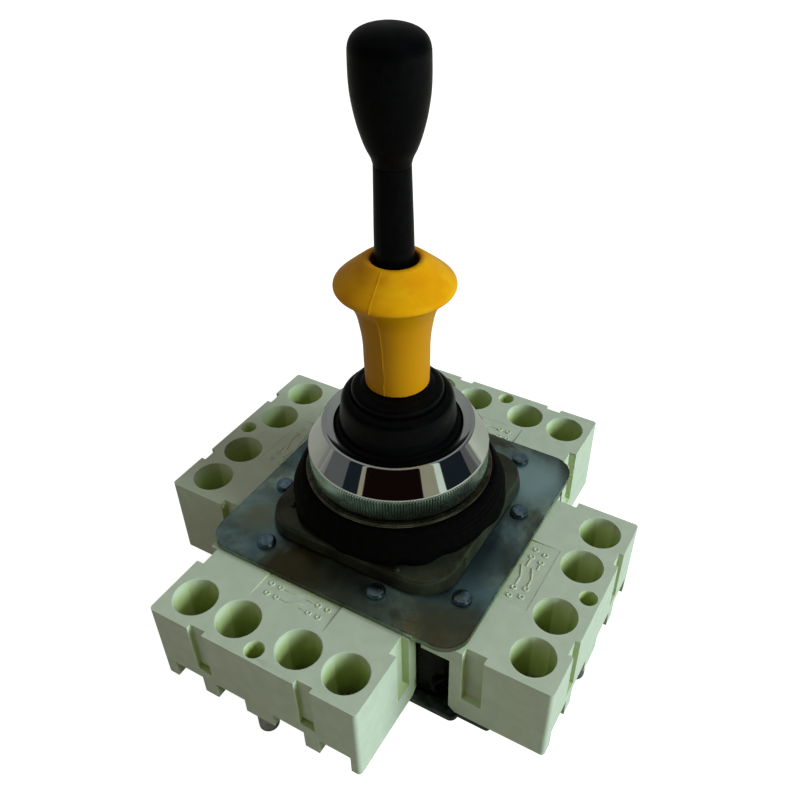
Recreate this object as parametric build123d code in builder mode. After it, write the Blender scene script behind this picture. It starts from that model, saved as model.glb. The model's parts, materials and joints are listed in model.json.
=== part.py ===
# Industrial joystick: a two-axis lever head for a round panel hole, carried on a square steel plate
# with four radial contact blocks set in a pinwheel. All sizes are in millimetres, +Z runs up the lever
# and z = 0 is the surface that the screw heads under the blocks stand on.
import os
from math import cos, radians, tan

from build123d import *

os.makedirs("parts", exist_ok=True)

# Driving sizes: contact blocks. u runs along a block, v runs outwards from the lever's axis.
block_reach = 45.0              # lever axis to a block's outer face
block_height = 18.9
block_left = -26.1              # ends of a block, measured along u
block_right = 18.3
block_centre = -4.0             # middle of the terminal row: the blocks sit in a pinwheel
casing_start = 25.5             # where the deep part of a block begins
flange_start = 19.7             # where the top flange of a block begins
flange_height = 4.4
block_wall = 2.4
block_inner_wall = 1.6
block_top_wall = 2.5
block_corner = 0.8
cavity_depth = 7.0              # room for the moving contacts, along v
chamber_rib = 1.0               # wall left between the cavity and the wire chambers
chamber_skin = 1.2              # outer wall in front of the wire chambers

terminal_row = 38.9             # lever axis to the terminal bores
terminal_bore = 4.13            # radius of a screwdriver bore
middle_pitch = 13.2
outer_pitch = 9.9
terminal_depth = 13.0           # block top to the terminal plates
fixing_bore = 1.75
fixing_bore_depth = 6.3
fixing_inset = 2.3              # outer face to the fixing bore's axis
wire_window_width = 6.8
wire_window_height = 4.4
wire_window_shift = 0.5
boss_drop = 0.9                 # the middle boss ends this far above the block's underside
groove_width = 3.3
groove_depth = 1.0
groove_height = 12.2
groove_slot_height = 0.8        # undercut slot at a groove's lower end
groove_slot_depth = 0.8
end_recess_start = 28.0
end_recess_width = 5.2
end_recess_height = 14.6
end_recess_depth = 1.5
label_length = 16.5
label_width = 7.8
label_depth = 0.35
label_tuck = 1.7                # length of the label panel under the plate's edge

# Terminals and contacts
terminal_plate_thickness = 1.2
terminal_plate_width = 7.2
terminal_head_radius = 3.2
terminal_head_height = 2.4
terminal_shank_radius = 1.7
driver_slot_width = 0.9
driver_slot_turn = 35.0         # degrees
clamp_width = 5.4
clamp_length = 6.4
clamp_thickness = 1.6
wire_gap = 2.0
contact_tab_height = 8.1
contact_tab_width = 5.0
contact_tab_thickness = 0.6
bridge_length = 13.2
bridge_height = 4.6
bridge_thickness = 0.6
bridge_grip = 0.9                # a bridge's edge inside the crossbar
carrier_thickness = 1.8
carrier_height = 2.8
carrier_overhang = 3.0          # crossbar past a bridge's middle, at each end

# Plates and what clamps the blocks
screw_drop = 4.6                # block screw heads reach this far under the blocks
block_screw_head = 1.95
block_screw_shank = 1.4
block_screw_grip = 9.45         # length inside the block
plate_size = 55.5
plate_thickness = 1.2
plate_corner = 5.0
base_plate_thickness = 1.5
base_plate_size = 53.0
base_plate_reach = 34.0
tab_inset = 1.0                 # a base plate tab is narrower than its block by this on each side
rivet_row = 22.85
rivet_left = -16.5
rivet_right = 8.4
rivet_shank = 1.5
rivet_head = 2.05
rivet_head_height = 1.2
rivet_chamfer = 0.35
core_size = 50.4
core_neck_size = 38.8
core_cavity = 23.0
core_corner = 4.0

# Head
body_size = 40.0
body_corner = 8.0
body_height = 3.4
body_draft = 12.0
body_fillet = 0.6
neck_radius = 15.0              # thread for a 30 mm panel hole
neck_height = 14.9              # above the body
neck_chamfer = 0.5
gimbal_bore = 11.8
boot_bore = 12.6
gasket_radius = 21.2
gasket_height = 7.0
gasket_top_radius = 18.9
gasket_edge = 0.5
gasket_waist = 1.2              # how far the step between its two flanks goes in
gasket_round = 1.4
washer_radius = 18.24
washer_thickness = 1.0
washer_chamfer = 0.25
nut_radius = 17.35
knurl_height = 5.4
nut_crest_radius = 14.45
nut_crest_height = 10.5         # nut underside to crest
nut_lip_radius = 12.35
nut_lip_drop = 1.9
nut_lip_thickness = 1.1
nut_lip_bow = 0.9
nut_edge = 0.4
nut_crest_fillet = 0.35
head_screw_offset = 15.6
head_screw_shank = 1.4
head_screw_head = 2.05          # radius and height of the head
head_screw_depth = 2.5          # hole in the body

# Lever and its bearing
pivot_rise = 6.0                # block top to the tilt axes
tilt_limit = 10.0               # degrees each way
gate_margin = 0.5               # room round the lever in the plate's gate
cam_arm = 13.5                  # pivot to the middle of the cam
cam_size = 14.0
cam_height = 7.0
cam_corner = 1.2
cam_screw_head = 4.0
cam_screw_head_height = 2.05
cam_screw_shank = 1.5
shaft_radius = 3.0
shaft_top_radius = 2.0
hub_radius = 6.2
hub_height = 6.0
hub_skin = 1.0                  # hub wall left round the shaft behind a pin
gimbal_outer = 10.6
gimbal_inner = 7.2
gimbal_height = 4.0
gimbal_chamfer = 0.3
pin_radius = 1.5
pin_cover = 0.6                 # neck wall left outside a pin
turned_chamfer = 0.5            # on the shaft, the hub and screw heads
lever_height = 92.4             # block top to the knob's top
knob_length = 19.6
knob_radius = 6.05
sleeve_foot_radius = 3.8
sleeve_top_radius = 3.0
sleeve_skirt = 7.0              # sleeve below the spring seat
shaft_stop = 6.5                # knob's top to the shaft's end
# the knob's outline as shares of its radius and length
knob_flank = [(0.73, 0.185), (0.895, 0.37), (0.99, 0.57), (1.0, 0.72), (0.985, 0.87)]
knob_crown = [(0.82, 0.962), (0.4, 0.995)]

# Interlock collar
collar_foot_height = 32.4       # block top to the collar's foot
collar_foot_radius = 6.0
collar_height = 24.6
collar_rim_radius = 10.45
# the collar's outline: shares of the way from its foot's radius to its rim's, and of its height
collar_neck = [(0.0, 0.3), (0.1, 0.44), (0.337, 0.62)]
collar_rim = [(0.775, 0.724), (1.0, 0.813)]
collar_dome = (0.64, 0.939)
collar_top_flat = 1.2           # bore to the outer edge of the collar's top
collar_edge = 0.5
collar_foot_draft = 0.15
collar_bore = 4.0
collar_chamber = 5.3
collar_chamber_room = 3.0       # chamber above the spring seat at rest
collar_chamber_cone = 1.2
collar_lift = 5.0
latch_radius = 4.4
latch_flange = 5.6
latch_flange_thickness = 1.8
latch_gate_bore = 8.8
latch_gate_thickness = 1.2
plug_height = 3.6
spring_wire = 0.6
spring_seat_height = 16.1       # collar's foot to the seat on the sleeve
spring_seat_thickness = 1.3
collar_spring_turns = 4

# Boot: its upper steps are shares of the reach from the nut's lip to the hole, and of their height
boot_wall = 1.0
boot_cuff_height = 2.5          # held in the neck
boot_steps_height = 4.9
boot_bulge = 0.1
boot_bulge_rise = 2.2
boot_shoulder = [(0.082, 0.0), (0.19, 0.1)]
boot_middle_roll = [(0.218, 0.53), (0.408, 0.633), (0.476, 0.49)]
boot_upper_roll = [(0.544, 0.796), (0.707, 0.857), (0.748, 0.735)]
boot_crown = (0.844, 0.98)
boot_lining = [(1.0, 0.633), (0.707, 0.49), (0.435, 0.265), (0.354, -0.04), (0.204, -0.184)]

# Plungers
plunger_radius = 2.5
plunger_nose = 2.0
plunger_gap = 0.4               # nose to cam at rest
plunger_flange = 3.8
plunger_flange_thickness = 1.0
plunger_spring_length = 7.2
plunger_spring_turns = 3

# Clearances
running_gap = 0.05              # radial, shaft in bore
thread_gap = 0.1
stack_gap = 0.1                 # between pieces that only touch
free_gap = 0.3                  # between pieces that move apart
overlap = 1.0                   # how far forms of one piece run into each other

# Levels worked out from the sizes above
block_bottom = screw_drop
block_top = block_bottom + block_height
plate_top = block_top + plate_thickness
body_top = plate_top + body_height
neck_top = body_top + neck_height
gasket_top = body_top + gasket_height
washer_top = gasket_top + washer_thickness
nut_bottom = washer_top + stack_gap
nut_crest = nut_bottom + nut_crest_height
nut_lip = nut_crest - nut_lip_drop
pivot = block_top + pivot_rise
cam_level = pivot - cam_arm
cam_bottom = cam_level - cam_height / 2
flange_bottom = block_top - flange_height
terminal_level = block_top - terminal_depth
casing_depth = block_reach - casing_start
cavity_start = casing_start + block_inner_wall
cavity_end = cavity_start + cavity_depth
cavity_top = block_top - block_top_wall
groove_bottom = block_top - groove_height
chamber_start = cavity_end + chamber_rib
chamber_end = block_reach - chamber_skin
block_width = block_right - block_left
block_middle = (block_left + block_right) / 2
collar_foot = block_top + collar_foot_height
collar_top = collar_foot + collar_height
spring_seat = collar_foot + spring_seat_height
sleeve_bottom = spring_seat - sleeve_skirt
knob_top = block_top + lever_height
knob_bottom = knob_top - knob_length
shaft_top = knob_top - shaft_stop
boot_bottom = neck_top - boot_cuff_height
gate_level = boot_bottom - latch_gate_thickness
latch_bottom = gate_level - (latch_flange_thickness - latch_gate_thickness) / 2
terminal_places = [
    block_centre - middle_pitch / 2 - outer_pitch,
    block_centre - middle_pitch / 2,
    block_centre + middle_pitch / 2,
    block_centre + middle_pitch / 2 + outer_pitch,
]
contact_places = [
    (terminal_places[0] + terminal_places[1]) / 2,
    (terminal_places[2] + terminal_places[3]) / 2,
]
sides = {"front": 0, "right": 90, "back": 180, "left": 270}
rivet_places = [(rivet_left, -rivet_row), (rivet_right, -rivet_row)]


def save(block, name):
    """Label a finished piece and write it."""
    block.part.label = name
    export_step(block.part, f"parts/{name}.step")


def save_on_sides(master, name):
    """Write a piece of the front block once for each of the four sides."""
    for side, angle in sides.items():
        with BuildPart() as placed:
            add(master.part, rotation=(0, 0, angle))
        save(placed, f"{name}_{side}")


def save_all_round(master, name):
    """Write the pieces of all four sides as one node of separate solids."""
    with BuildPart() as ring:
        for angle in sides.values():
            add(master.part, rotation=(0, 0, angle))
    save(ring, name)


# Top plate: square sheet with the lever's gate, rivet holes and head screw holes
gate_reach = (pivot - block_top) * tan(radians(tilt_limit))
gate_size = 2 * (shaft_radius / cos(radians(tilt_limit)) + gate_reach + gate_margin)
with BuildPart() as top_plate:
    with BuildSketch(Plane.XY.offset(block_top)):
        RectangleRounded(plate_size, plate_size, plate_corner)
        RectangleRounded(gate_size, gate_size, shaft_radius, mode=Mode.SUBTRACT)
        with GridLocations(2 * head_screw_offset, 2 * head_screw_offset, 2, 2):
            Circle(rivet_shank + running_gap, mode=Mode.SUBTRACT)
        for angle in sides.values():
            with Locations(*[Vector(*place).rotate(Axis.Z, angle) for place in rivet_places]):
                Circle(rivet_shank + running_gap, mode=Mode.SUBTRACT)
    extrude(amount=plate_thickness)
save(top_plate, "top_plate")

# Base plate: square with a tab under each block, up to the wire chambers
tab_start = base_plate_size / 2 - overlap
with BuildPart() as base_plate:
    with BuildSketch(Plane.XY.offset(block_bottom - base_plate_thickness)):
        RectangleRounded(base_plate_size, base_plate_size, plate_corner)
        for angle in sides.values():
            with Locations(Rotation(0, 0, angle)):
                with Locations((block_middle, -(tab_start + base_plate_reach) / 2)):
                    Rectangle(block_width - 2 * tab_inset, base_plate_reach - tab_start)
        for angle in sides.values():
            with Locations(*[Vector(*place).rotate(Axis.Z, angle) for place in rivet_places]):
                Circle(rivet_shank + running_gap, mode=Mode.SUBTRACT)
    extrude(amount=base_plate_thickness)
save(base_plate, "base_plate")

# Rivets: a shank through both plates with a chamfered head at each end
with BuildPart() as rivet_pair:
    with BuildSketch(Plane.XY.offset(block_bottom - base_plate_thickness)):
        with Locations(*rivet_places):
            Circle(rivet_shank)
    extrude(amount=plate_top - block_bottom + base_plate_thickness)
    for level in (plate_top, block_bottom - base_plate_thickness - rivet_head_height):
        with BuildSketch(Plane.XY.offset(level)):
            with Locations(*rivet_places):
                Circle(rivet_head)
        extrude(amount=rivet_head_height)
    ends = rivet_pair.faces().filter_by(Axis.Z).sort_by(Axis.Z)
    chamfer(ends[:2].edges() + ends[-2:].edges(), rivet_chamfer)
save_all_round(rivet_pair, "block_rivets")

# Core housing: black moulding between the plates that guides the four plungers
with BuildPart() as core_housing:
    with BuildSketch(Plane.XY.offset(block_bottom + stack_gap)):
        RectangleRounded(core_size, core_size, core_corner)
    extrude(amount=flange_bottom - block_bottom - 2 * stack_gap)
    with BuildSketch(Plane.XY.offset(flange_bottom - stack_gap)):
        RectangleRounded(core_neck_size, core_neck_size, core_corner)
    extrude(amount=block_top - flange_bottom)
    with BuildSketch(Plane.XY.offset(block_bottom)):
        RectangleRounded(core_cavity, core_cavity, shaft_radius)
    extrude(amount=block_height, mode=Mode.SUBTRACT)
    for angle in sides.values():
        with BuildSketch(Plane.XZ.rotated((0, 0, angle), ordering=Extrinsic.XYZ)):
            with Locations((0, cam_level)):
                Circle(plunger_radius + running_gap)
        extrude(amount=core_size / 2, mode=Mode.SUBTRACT)
        with BuildSketch(Plane.XZ.rotated((0, 0, angle), ordering=Extrinsic.XYZ)):
            with Locations((0, cam_level)):
                Circle(plunger_flange + free_gap)
        extrude(amount=core_cavity / 2 + plunger_spring_length + plunger_flange_thickness + free_gap,
                mode=Mode.SUBTRACT)
    with BuildSketch(Plane.XY.offset(block_bottom)):
        for angle in sides.values():
            with Locations(*[Vector(*place).rotate(Axis.Z, angle) for place in rivet_places]):
                Circle(rivet_shank + running_gap)
    extrude(amount=block_height, mode=Mode.SUBTRACT)
    with BuildSketch(Plane.XY.offset(block_top)):
        with GridLocations(2 * head_screw_offset, 2 * head_screw_offset, 2, 2):
            Circle(head_screw_head + running_gap + free_gap)
    extrude(amount=-head_screw_head - free_gap, mode=Mode.SUBTRACT)
save(core_housing, "core_housing")

# Contact block casing: deep terminal part, thin top flange, bores, wire windows and recesses
with BuildPart() as casing:
    with BuildSketch(Plane.XY.offset(block_bottom)):
        with Locations((block_middle, -(casing_start + block_reach) / 2)):
            Rectangle(block_width, casing_depth)
    extrude(amount=block_height)
    fillet(casing.edges().filter_by(Axis.Z).group_by(Axis.Y)[0], block_corner)
    inner_edge = casing.edges().filter_by(Axis.X).group_by(Axis.Z)[0].sort_by(Axis.Y)[-1]
    chamfer(inner_edge, block_inner_wall - free_gap)
    with BuildSketch(Plane.XY.offset(flange_bottom)):
        with Locations((block_middle, -(flange_start + casing_start + overlap) / 2)):
            Rectangle(block_width, casing_start + overlap - flange_start)
    extrude(amount=flange_height)
    # room for the moving contacts
    with BuildSketch(Plane.XY.offset(block_bottom)):
        with Locations((block_middle, -(cavity_start + cavity_end) / 2)):
            Rectangle(block_width - 2 * block_wall, cavity_depth)
    extrude(amount=cavity_top - block_bottom, mode=Mode.SUBTRACT)
    # slot that the plunger's stem drops into
    with BuildSketch(Plane.XZ.offset(casing_start - overlap)):
        with Locations((0, cam_level)):
            Circle(plunger_radius + free_gap)
        with Locations((0, (cam_level + block_bottom) / 2)):
            Rectangle(2 * (plunger_radius + free_gap), cam_level - block_bottom)
    extrude(amount=block_inner_wall + overlap, mode=Mode.SUBTRACT)
    # screwdriver bores and fixing bore
    with BuildSketch(Plane.XY.offset(block_top)):
        with Locations(*[(place, -terminal_row) for place in terminal_places]):
            Circle(terminal_bore)
    extrude(amount=-terminal_depth, mode=Mode.SUBTRACT)
    with BuildSketch(Plane.XY.offset(block_top)):
        with Locations((block_centre, -(block_reach - fixing_inset))):
            Circle(fixing_bore)
    extrude(amount=-fixing_bore_depth, mode=Mode.SUBTRACT)
    with BuildSketch(Plane.XY.offset(block_bottom)):
        with Locations((block_centre, -(block_reach - fixing_inset))):
            Circle(block_screw_shank + running_gap)
    extrude(amount=block_height, mode=Mode.SUBTRACT)
    # slots for the terminal plates, open to the bores above and the wire chambers below
    plate_end = terminal_row + terminal_bore
    with BuildSketch(Plane.XY.offset(terminal_level)):
        for place in terminal_places:
            with Locations((place, -(cavity_end + plate_end) / 2)):
                Rectangle(terminal_plate_width + 2 * running_gap, plate_end - cavity_end + 2 * stack_gap)
    extrude(amount=-terminal_plate_thickness - running_gap, mode=Mode.SUBTRACT)
    # wire chambers, open below, and their windows in the outer face
    with BuildSketch(Plane.XY.offset(block_bottom)):
        for place in terminal_places:
            with Locations((place + wire_window_shift, -(chamber_start + chamber_end) / 2)):
                Rectangle(wire_window_width, chamber_end - chamber_start)
    extrude(amount=terminal_level - terminal_plate_thickness - block_bottom, mode=Mode.SUBTRACT)
    with BuildSketch(Plane.XY.offset(block_bottom)):
        for place in terminal_places:
            with Locations((place + wire_window_shift, -block_reach)):
                Rectangle(wire_window_width, 2 * (chamber_skin + overlap))
    extrude(amount=wire_window_height, mode=Mode.SUBTRACT)
    # the middle boss is shorter than the feet
    with BuildSketch(Plane.XY.offset(block_bottom)):
        with Locations((block_centre + wire_window_shift, -(chamber_start + block_reach + overlap) / 2)):
            Rectangle(middle_pitch - wire_window_width, block_reach + overlap - chamber_start)
    extrude(amount=boss_drop, mode=Mode.SUBTRACT)
    # grooves down the outer face, each with a slot at its lower end
    with BuildSketch(Plane.XZ.offset(block_reach - groove_depth)):
        with Locations(*[(place, groove_bottom + groove_height / 2) for place in contact_places]):
            Rectangle(groove_width, groove_height)
    extrude(amount=groove_depth + overlap, mode=Mode.SUBTRACT)
    with BuildSketch(Plane.XZ.offset(block_reach - groove_depth - groove_slot_depth)):
        with Locations(*[(place, groove_bottom + groove_slot_height / 2) for place in contact_places]):
            Rectangle(groove_width, groove_slot_height)
    extrude(amount=groove_slot_depth + overlap, mode=Mode.SUBTRACT)
    # recesses in both ends, open at the top
    with BuildSketch(Plane.XY.offset(block_top)):
        for end in (block_left, block_right):
            with Locations((end, -end_recess_start - end_recess_width / 2)):
                Rectangle(2 * end_recess_depth, end_recess_width)
    extrude(amount=-end_recess_height, mode=Mode.SUBTRACT)
    # sunk panel on top for a label, partly under the plate's edge
    with BuildSketch(Plane.XY.offset(block_top)):
        with Locations((block_centre, -(plate_size / 2 + label_width / 2 - label_tuck))):
            Rectangle(label_length, label_width)
    extrude(amount=-label_depth, mode=Mode.SUBTRACT)
    with BuildSketch(Plane.XY.offset(flange_bottom)):
        with Locations(*rivet_places):
            Circle(rivet_shank + running_gap)
    extrude(amount=flange_height, mode=Mode.SUBTRACT)
save_on_sides(casing, "contact_block")

# Fixed contacts: a plate under each terminal screw with a tab that stands up in the cavity
tab_face = cavity_end - running_gap - contact_tab_thickness
contact_bottom = terminal_level - terminal_plate_thickness
with BuildPart() as fixed_contacts:
    for place in terminal_places:
        with BuildSketch(Plane.YZ.offset(place)):
            with BuildLine():
                Polyline(
                    (-tab_face, contact_bottom),
                    (-tab_face, contact_bottom + contact_tab_height),
                    (-cavity_end + running_gap, contact_bottom + contact_tab_height),
                    (-cavity_end + running_gap, terminal_level),
                    (-plate_end, terminal_level),
                    (-plate_end, contact_bottom),
                    close=True,
                )
            make_face()
        extrude(amount=contact_tab_width / 2, both=True)
        with BuildSketch(Plane.XY.offset(terminal_level)):
            with Locations((place, -(chamber_start + plate_end) / 2)):
                Rectangle(terminal_plate_width, plate_end - chamber_start)
        extrude(amount=-terminal_plate_thickness)
    with BuildSketch(Plane.XY.offset(terminal_level)):
        with Locations(*[(place, -terminal_row) for place in terminal_places]):
            Circle(terminal_shank_radius + running_gap)
    extrude(amount=-terminal_plate_thickness, mode=Mode.SUBTRACT)
save_on_sides(fixed_contacts, "fixed_contacts")

# Terminal screws: slotted heads over the plates, shanks down through the wire clamps
with BuildPart() as terminal_screws:
    with BuildSketch(Plane.XY.offset(terminal_level)):
        with Locations(*[(place, -terminal_row) for place in terminal_places]):
            Circle(terminal_head_radius)
    extrude(amount=terminal_head_height)
    with BuildSketch(Plane.XY.offset(terminal_level + terminal_head_height)):
        with Locations(*[(place, -terminal_row) for place in terminal_places]):
            Rectangle(driver_slot_width, 2 * terminal_head_radius, rotation=driver_slot_turn)
    extrude(amount=-terminal_head_height / 2, mode=Mode.SUBTRACT)
    with BuildSketch(Plane.XY.offset(terminal_level)):
        with Locations(*[(place, -terminal_row) for place in terminal_places]):
            Circle(terminal_shank_radius)
    extrude(amount=-(terminal_level - block_bottom - free_gap))
save_all_round(terminal_screws, "terminal_screws")

# Wire clamps: square plates on the screws, one under each terminal
clamp_top = contact_bottom - wire_gap
with BuildPart() as terminal_clamps:
    with BuildSketch(Plane.XY.offset(clamp_top)):
        with Locations(*[(place, -terminal_row) for place in terminal_places]):
            Rectangle(clamp_width, clamp_length)
            Circle(terminal_shank_radius, mode=Mode.SUBTRACT)
    extrude(amount=-clamp_thickness)
save_all_round(terminal_clamps, "terminal_clamps")

# Block screws: round heads under the middle boss
with BuildPart() as block_screw:
    with BuildSketch(Plane.XY):
        with Locations((block_centre, -(block_reach - fixing_inset))):
            Circle(block_screw_head)
    extrude(amount=block_bottom + boss_drop)
    fillet(block_screw.edges().group_by(Axis.Z)[0], turned_chamfer)
    with BuildSketch(Plane.XY.offset(block_bottom + boss_drop)):
        with Locations((block_centre, -(block_reach - fixing_inset))):
            Circle(block_screw_shank)
    extrude(amount=block_screw_grip)
save_all_round(block_screw, "block_screws")

# Head body: die casting with a drafted rounded square foot and a round threaded neck
with BuildPart() as head_body:
    with BuildSketch(Plane.XY.offset(plate_top)):
        RectangleRounded(body_size, body_size, body_corner)
    extrude(amount=body_height, taper=body_draft)
    fillet(head_body.edges().group_by(Axis.Z)[-1], body_fillet)
    with BuildSketch(Plane.XY.offset(body_top)):
        Circle(neck_radius)
    extrude(amount=neck_height)
    chamfer(head_body.edges().group_by(Axis.Z)[-1], neck_chamfer)
    with BuildSketch(Plane.XY.offset(plate_top)):
        Circle(gimbal_bore)
    extrude(amount=body_height + neck_height, mode=Mode.SUBTRACT)
    with BuildSketch(Plane.XY.offset(gate_level)):
        Circle(boot_bore)
    extrude(amount=neck_top - gate_level, mode=Mode.SUBTRACT)
    with BuildSketch(Plane.YZ):
        with Locations((0, pivot)):
            Circle(pin_radius + running_gap)
    extrude(amount=neck_radius - pin_cover, both=True, mode=Mode.SUBTRACT)
    with BuildSketch(Plane.XY.offset(plate_top)):
        with GridLocations(2 * head_screw_offset, 2 * head_screw_offset, 2, 2):
            Circle(head_screw_shank)
    extrude(amount=head_screw_depth, mode=Mode.SUBTRACT)
save(head_body, "head_body")

# Head screws: from below the plate up into the corners of the head body
with BuildPart() as head_screws:
    with BuildSketch(Plane.XY.offset(block_top - head_screw_head)):
        with GridLocations(2 * head_screw_offset, 2 * head_screw_offset, 2, 2):
            Circle(head_screw_head)
    extrude(amount=head_screw_head)
    with BuildSketch(Plane.XY.offset(block_top)):
        with GridLocations(2 * head_screw_offset, 2 * head_screw_offset, 2, 2):
            Circle(head_screw_shank)
    extrude(amount=plate_thickness + head_screw_depth - stack_gap)
save(head_screws, "head_screws")

# Panel gasket: thick rubber ring with stepped, rounded flanks
gasket_step = gasket_height / 2
with BuildPart() as panel_gasket:
    with BuildSketch(Plane.XZ):
        with BuildLine():
            Polyline(
                (gasket_radius - gasket_edge, body_top),
                (neck_radius + thread_gap, body_top),
                (neck_radius + thread_gap, gasket_top),
                (gasket_top_radius, gasket_top),
            )
            ThreePointArc(
                (gasket_top_radius, gasket_top),
                (gasket_top_radius + gasket_waist, gasket_top - gasket_round),
                (gasket_radius - gasket_waist, body_top + gasket_step),
            )
            ThreePointArc(
                (gasket_radius - gasket_waist, body_top + gasket_step),
                (gasket_radius, body_top + gasket_step / 2),
                (gasket_radius - gasket_edge, body_top),
            )
        make_face()
    revolve(axis=Axis.Z)
save(panel_gasket, "panel_gasket")

# Clamp washer under the nut
with BuildPart() as clamp_washer:
    with BuildSketch(Plane.XY.offset(gasket_top)):
        Circle(washer_radius)
        Circle(neck_radius + thread_gap, mode=Mode.SUBTRACT)
    extrude(amount=washer_thickness)
    chamfer(clamp_washer.edges().filter_by(GeomType.CIRCLE).group_by(SortBy.RADIUS)[-1], washer_chamfer)
save(clamp_washer, "clamp_washer")

# Ring nut: knurled band, polished cone, rounded crest and a lip that dishes down to the boot
with BuildPart() as ring_nut:
    with BuildSketch(Plane.XZ):
        with BuildLine():
            Polyline(
                (nut_crest_radius, nut_crest),
                (nut_radius, nut_bottom + knurl_height),
                (nut_radius, nut_bottom + nut_edge),
                (nut_radius - nut_edge, nut_bottom),
                (neck_radius + thread_gap, nut_bottom),
                (neck_radius + thread_gap, nut_lip - nut_lip_thickness),
                (nut_lip_radius, nut_lip - nut_lip_thickness),
                (nut_lip_radius, nut_lip),
            )
            ThreePointArc(
                (nut_lip_radius, nut_lip),
                (nut_lip_radius + nut_lip_bow, nut_lip + nut_lip_drop * 0.7),
                (nut_crest_radius, nut_crest),
            )
        make_face()
    revolve(axis=Axis.Z)
    crest = ring_nut.edges().filter_by(GeomType.CIRCLE).group_by(Axis.Z)[-1]
    fillet(crest, nut_crest_fillet)
save(ring_nut, "ring_nut")

# Gimbal: ring that rocks on two pins in the neck and carries the lever's hub on two more
with BuildPart() as gimbal_ring:
    with BuildSketch(Plane.XY.offset(pivot - gimbal_height / 2)):
        Circle(gimbal_outer)
        Circle(gimbal_inner, mode=Mode.SUBTRACT)
    extrude(amount=gimbal_height)
    chamfer(gimbal_ring.edges().filter_by(GeomType.CIRCLE), gimbal_chamfer)
    for plane in (Plane.YZ, Plane.XZ):
        with BuildSketch(plane):
            with Locations((0, pivot)):
                Circle(pin_radius)
        extrude(amount=gimbal_outer + overlap, both=True, mode=Mode.SUBTRACT)
save(gimbal_ring, "gimbal_ring")

# Gimbal pins: two along X in the neck and two along Y in the lever's hub
pin_root = shaft_radius + hub_skin + 2 * stack_gap
with BuildPart() as gimbal_pins:
    for side in (-1, 1):
        with BuildSketch(Plane.YZ.offset(side * (gimbal_inner + free_gap))):
            with Locations((0, pivot)):
                Circle(pin_radius)
        extrude(amount=side * (neck_radius - pin_cover - gimbal_inner - 2 * free_gap))
        with BuildSketch(Plane.XZ.offset(side * pin_root)):
            with Locations((0, pivot)):
                Circle(pin_radius)
        extrude(amount=side * (gimbal_outer - 2 * stack_gap - pin_root))
save(gimbal_pins, "gimbal_pins")

# Hub on the lever's shaft, between the gimbal's inner pins
with BuildPart() as lever_hub:
    with BuildSketch(Plane.XY.offset(pivot - hub_height / 2)):
        Circle(hub_radius)
        Circle(shaft_radius, mode=Mode.SUBTRACT)
    extrude(amount=hub_height)
    chamfer(lever_hub.edges().filter_by(GeomType.CIRCLE).group_by(SortBy.RADIUS)[-1], turned_chamfer)
    for side in (-1, 1):
        with BuildSketch(Plane.XZ.offset(side * (shaft_radius + hub_skin))):
            with Locations((0, pivot)):
                Circle(pin_radius + running_gap)
        extrude(amount=side * hub_radius, mode=Mode.SUBTRACT)
save(lever_hub, "lever_hub")

# Lever: stepped steel shaft, black sleeve and knob
with BuildPart() as lever_shaft:
    with BuildSketch(Plane.XY.offset(cam_bottom)):
        Circle(shaft_radius)
    extrude(amount=sleeve_bottom - cam_bottom)
    with BuildSketch(Plane.XY.offset(sleeve_bottom)):
        Circle(shaft_top_radius)
    extrude(amount=shaft_top - sleeve_bottom)
    chamfer(lever_shaft.edges().group_by(Axis.Z)[-1], turned_chamfer)
    with BuildSketch(Plane.XY.offset(cam_bottom)):
        Circle(cam_screw_shank)
    extrude(amount=cam_height, mode=Mode.SUBTRACT)
save(lever_shaft, "lever_shaft")

# Sleeve on the shaft above the collar's plug, with the seat for the collar spring
with BuildPart() as stick_sleeve:
    with BuildSketch(Plane.XZ):
        with BuildLine():
            Polyline(
                (shaft_top_radius, sleeve_bottom),
                (sleeve_foot_radius, sleeve_bottom),
                (sleeve_top_radius, knob_bottom - stack_gap),
                (shaft_top_radius, knob_bottom - stack_gap),
                close=True,
            )
        make_face()
    revolve(axis=Axis.Z)
    with BuildSketch(Plane.XY.offset(spring_seat)):
        Circle(collar_chamber - free_gap)
        Circle(shaft_top_radius, mode=Mode.SUBTRACT)
    extrude(amount=spring_seat_thickness)
save(stick_sleeve, "stick_sleeve")

# Knob: an egg-shaped moulding, pushed onto the shaft's end
flank = [(knob_radius * r, knob_bottom + knob_length * z) for r, z in knob_flank]
crown = [(knob_radius * r, knob_bottom + knob_length * z) for r, z in knob_crown]
with BuildPart() as knob:
    with BuildSketch(Plane.XZ):
        with BuildLine():
            Spline((sleeve_top_radius + stack_gap, knob_bottom), *flank)
            ThreePointArc(flank[-1], *crown)
            Polyline(
                crown[-1],
                (0, knob_top),
                (0, knob_bottom),
                (sleeve_top_radius + stack_gap, knob_bottom),
            )
        make_face()
    revolve(axis=Axis.Z)
    with BuildSketch(Plane.XY.offset(knob_bottom)):
        Circle(shaft_top_radius)
    extrude(amount=shaft_top - knob_bottom, mode=Mode.SUBTRACT)
save(knob, "knob")

# Cam at the lever's lower end, held by a screw from below
with BuildPart() as cam_block:
    with BuildSketch(Plane.XY.offset(cam_bottom)):
        RectangleRounded(cam_size, cam_size, cam_corner)
        Circle(shaft_radius, mode=Mode.SUBTRACT)
    extrude(amount=cam_height)
save(cam_block, "cam_block")

with BuildPart() as cam_screw:
    with BuildSketch(Plane.XY.offset(cam_bottom)):
        Circle(cam_screw_head)
    extrude(amount=-cam_screw_head_height)
    with BuildSketch(Plane.XY.offset(cam_bottom)):
        Circle(cam_screw_shank)
    extrude(amount=cam_height - overlap)
save(cam_screw, "cam_screw")

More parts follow.
